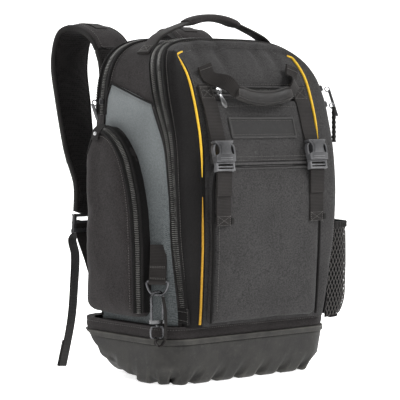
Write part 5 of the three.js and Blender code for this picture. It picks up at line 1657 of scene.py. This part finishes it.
joined("hook_gate_bar", [gate], GUN, replaces=["hook_gate"], slot="gunmetal", body="gate")
top = -45.3
loop_pts = [(0, top - 4), (8, top - 5), (8, top - 19), (0, top - 20), (-8, top - 19), (-8, top - 5)]
ball_r = 2.6
ball = [(ball_r * math.cos(a) * math.cos(b), ball_r * math.cos(a) * math.sin(b),
         top - 2.7 + ball_r * math.sin(a))
        for a in (-PI / 2 + PI * i / 8 for i in range(9)) for b in np.linspace(0, 2 * PI, 15)[:-1]]
ball = (ball, grid_faces(9, 14, wrap=True))
joined("hook_loop_wire", [wire([(x, 0, z) for x, z in loop_pts], 1.4, 60, True, hook)[:2],
                          transformed(ball, hook)], GUN, replaces=["hook_loop"], slot="gunmetal")
tape = [(9, -4.5, 131.4), (13, -6, 110), (14, -8, 86), (12, -9, 68), (6, -9, 62), (0, -7, 66),
        (0, -2.2, 70.3)]
C, N = rows_path([(p, (.5, -.85, 0)) for p in tape], 90)
webbing("tape_strap", transformed(strip(C, N, ribbon_section(11, 1.6)), corner))


# Camera, floor and light
def look():
    """The camera, at the photo's angle."""
    a, p, r = CAMERA_TURN, CAMERA_PITCH, CAMERA_ROLL
    d = np.array([math.sin(a), math.cos(a), 0])
    s = np.array([math.cos(a), -math.sin(a), 0])
    place = -CAMERA_AWAY * d - CAMERA_ASIDE * s + np.array([0, 0, CAMERA_UP])
    fwd = d * math.cos(p) + np.array([0, 0, -math.sin(p)])
    up = d * math.sin(p) + np.array([0, 0, math.cos(p)])
    right, up = s * math.cos(r) + up * math.sin(r), -s * math.sin(r) + up * math.cos(r)
    data = bpy.data.cameras.new("camera")
    data.sensor_width, data.lens, data.clip_end = SENSOR, FOCAL_SHARE * SENSOR, 50
    cam = bpy.data.objects.new("camera", data)
    bpy.context.scene.collection.objects.link(cam)
    M = Matrix.Identity(4)
    for i in range(3):
        M[i][0], M[i][1], M[i][2], M[i][3] = right[i], up[i], -fwd[i], place[i] * MM
    cam.matrix_world = M
    bpy.context.scene.camera = cam


def area(name, place, target, size, power):
    data = bpy.data.lights.new(name, "AREA")
    data.shape, data.size, data.energy = "DISK", size, power
    ob = bpy.data.objects.new(name, data)
    bpy.context.scene.collection.objects.link(ob)
    ob.location = place
    ob.rotation_euler = (Vector(target) - Vector(place)).to_track_quat("-Z", "Y").to_euler()


look()
area("key", (1.3, -1.9, 2.5), (0, 0, .28), 1.6, 74)
area("fill", (-2.4, -1.4, 1.6), (0, 0, .3), 2.0, 20)
area("rim", (-.6, 1.9, 1.8), (0, 0, .35), 1.4, 30)
world = bpy.data.worlds.new("studio")
bpy.context.scene.world = world
world.use_nodes = True
world.node_tree.nodes["Background"].inputs[0].default_value = (1, 1, 1, 1)
world.node_tree.nodes["Background"].inputs[1].default_value = .45
bpy.context.scene.view_settings.view_transform = "Standard"

turn = CAMERA_TURN
curve = [(CURVE_START + CURVE_R * math.sin(a), CURVE_R - CURVE_R * math.cos(a))
         for a in np.linspace(.1, PI / 2, 14)]
profile = [(-FLOOR_REACH, 0), (CURVE_START, 0), *curve, (CURVE_START + CURVE_R, 9)]
P = [(f * math.sin(turn) + w * math.cos(turn), f * math.cos(turn) - w * math.sin(turn), z)
     for f, z in profile for w in (-FLOOR_WIDE, FLOOR_WIDE)]
me = bpy.data.meshes.new("floor")
me.from_pydata(P, [], [(2 * i, 2 * i + 1, 2 * i + 3, 2 * i + 2) for i in range(len(profile) - 1)])
shade_smooth(me)
floor = bpy.data.objects.new("floor", me)
bpy.context.scene.collection.objects.link(floor)
m, nodes, links, bsdf = build("floor_paint")
co = nodes.new("ShaderNodeTexCoord").outputs["Object"]
tone = noise_node(nodes, links, co, 3, 2, .5)
links.new(blend_colour(nodes, links, tone, (.9, .9, .9, 1), (.93, .93, .93, 1)), bsdf.inputs["Base Color"])
bsdf.inputs["Roughness"].default_value = .8
bsdf.inputs["Emission Color"].default_value = (1, 1, 1, 1)
bsdf.inputs["Emission Strength"].default_value = .75
me.materials.append(m)

bpy.context.view_layer.update()
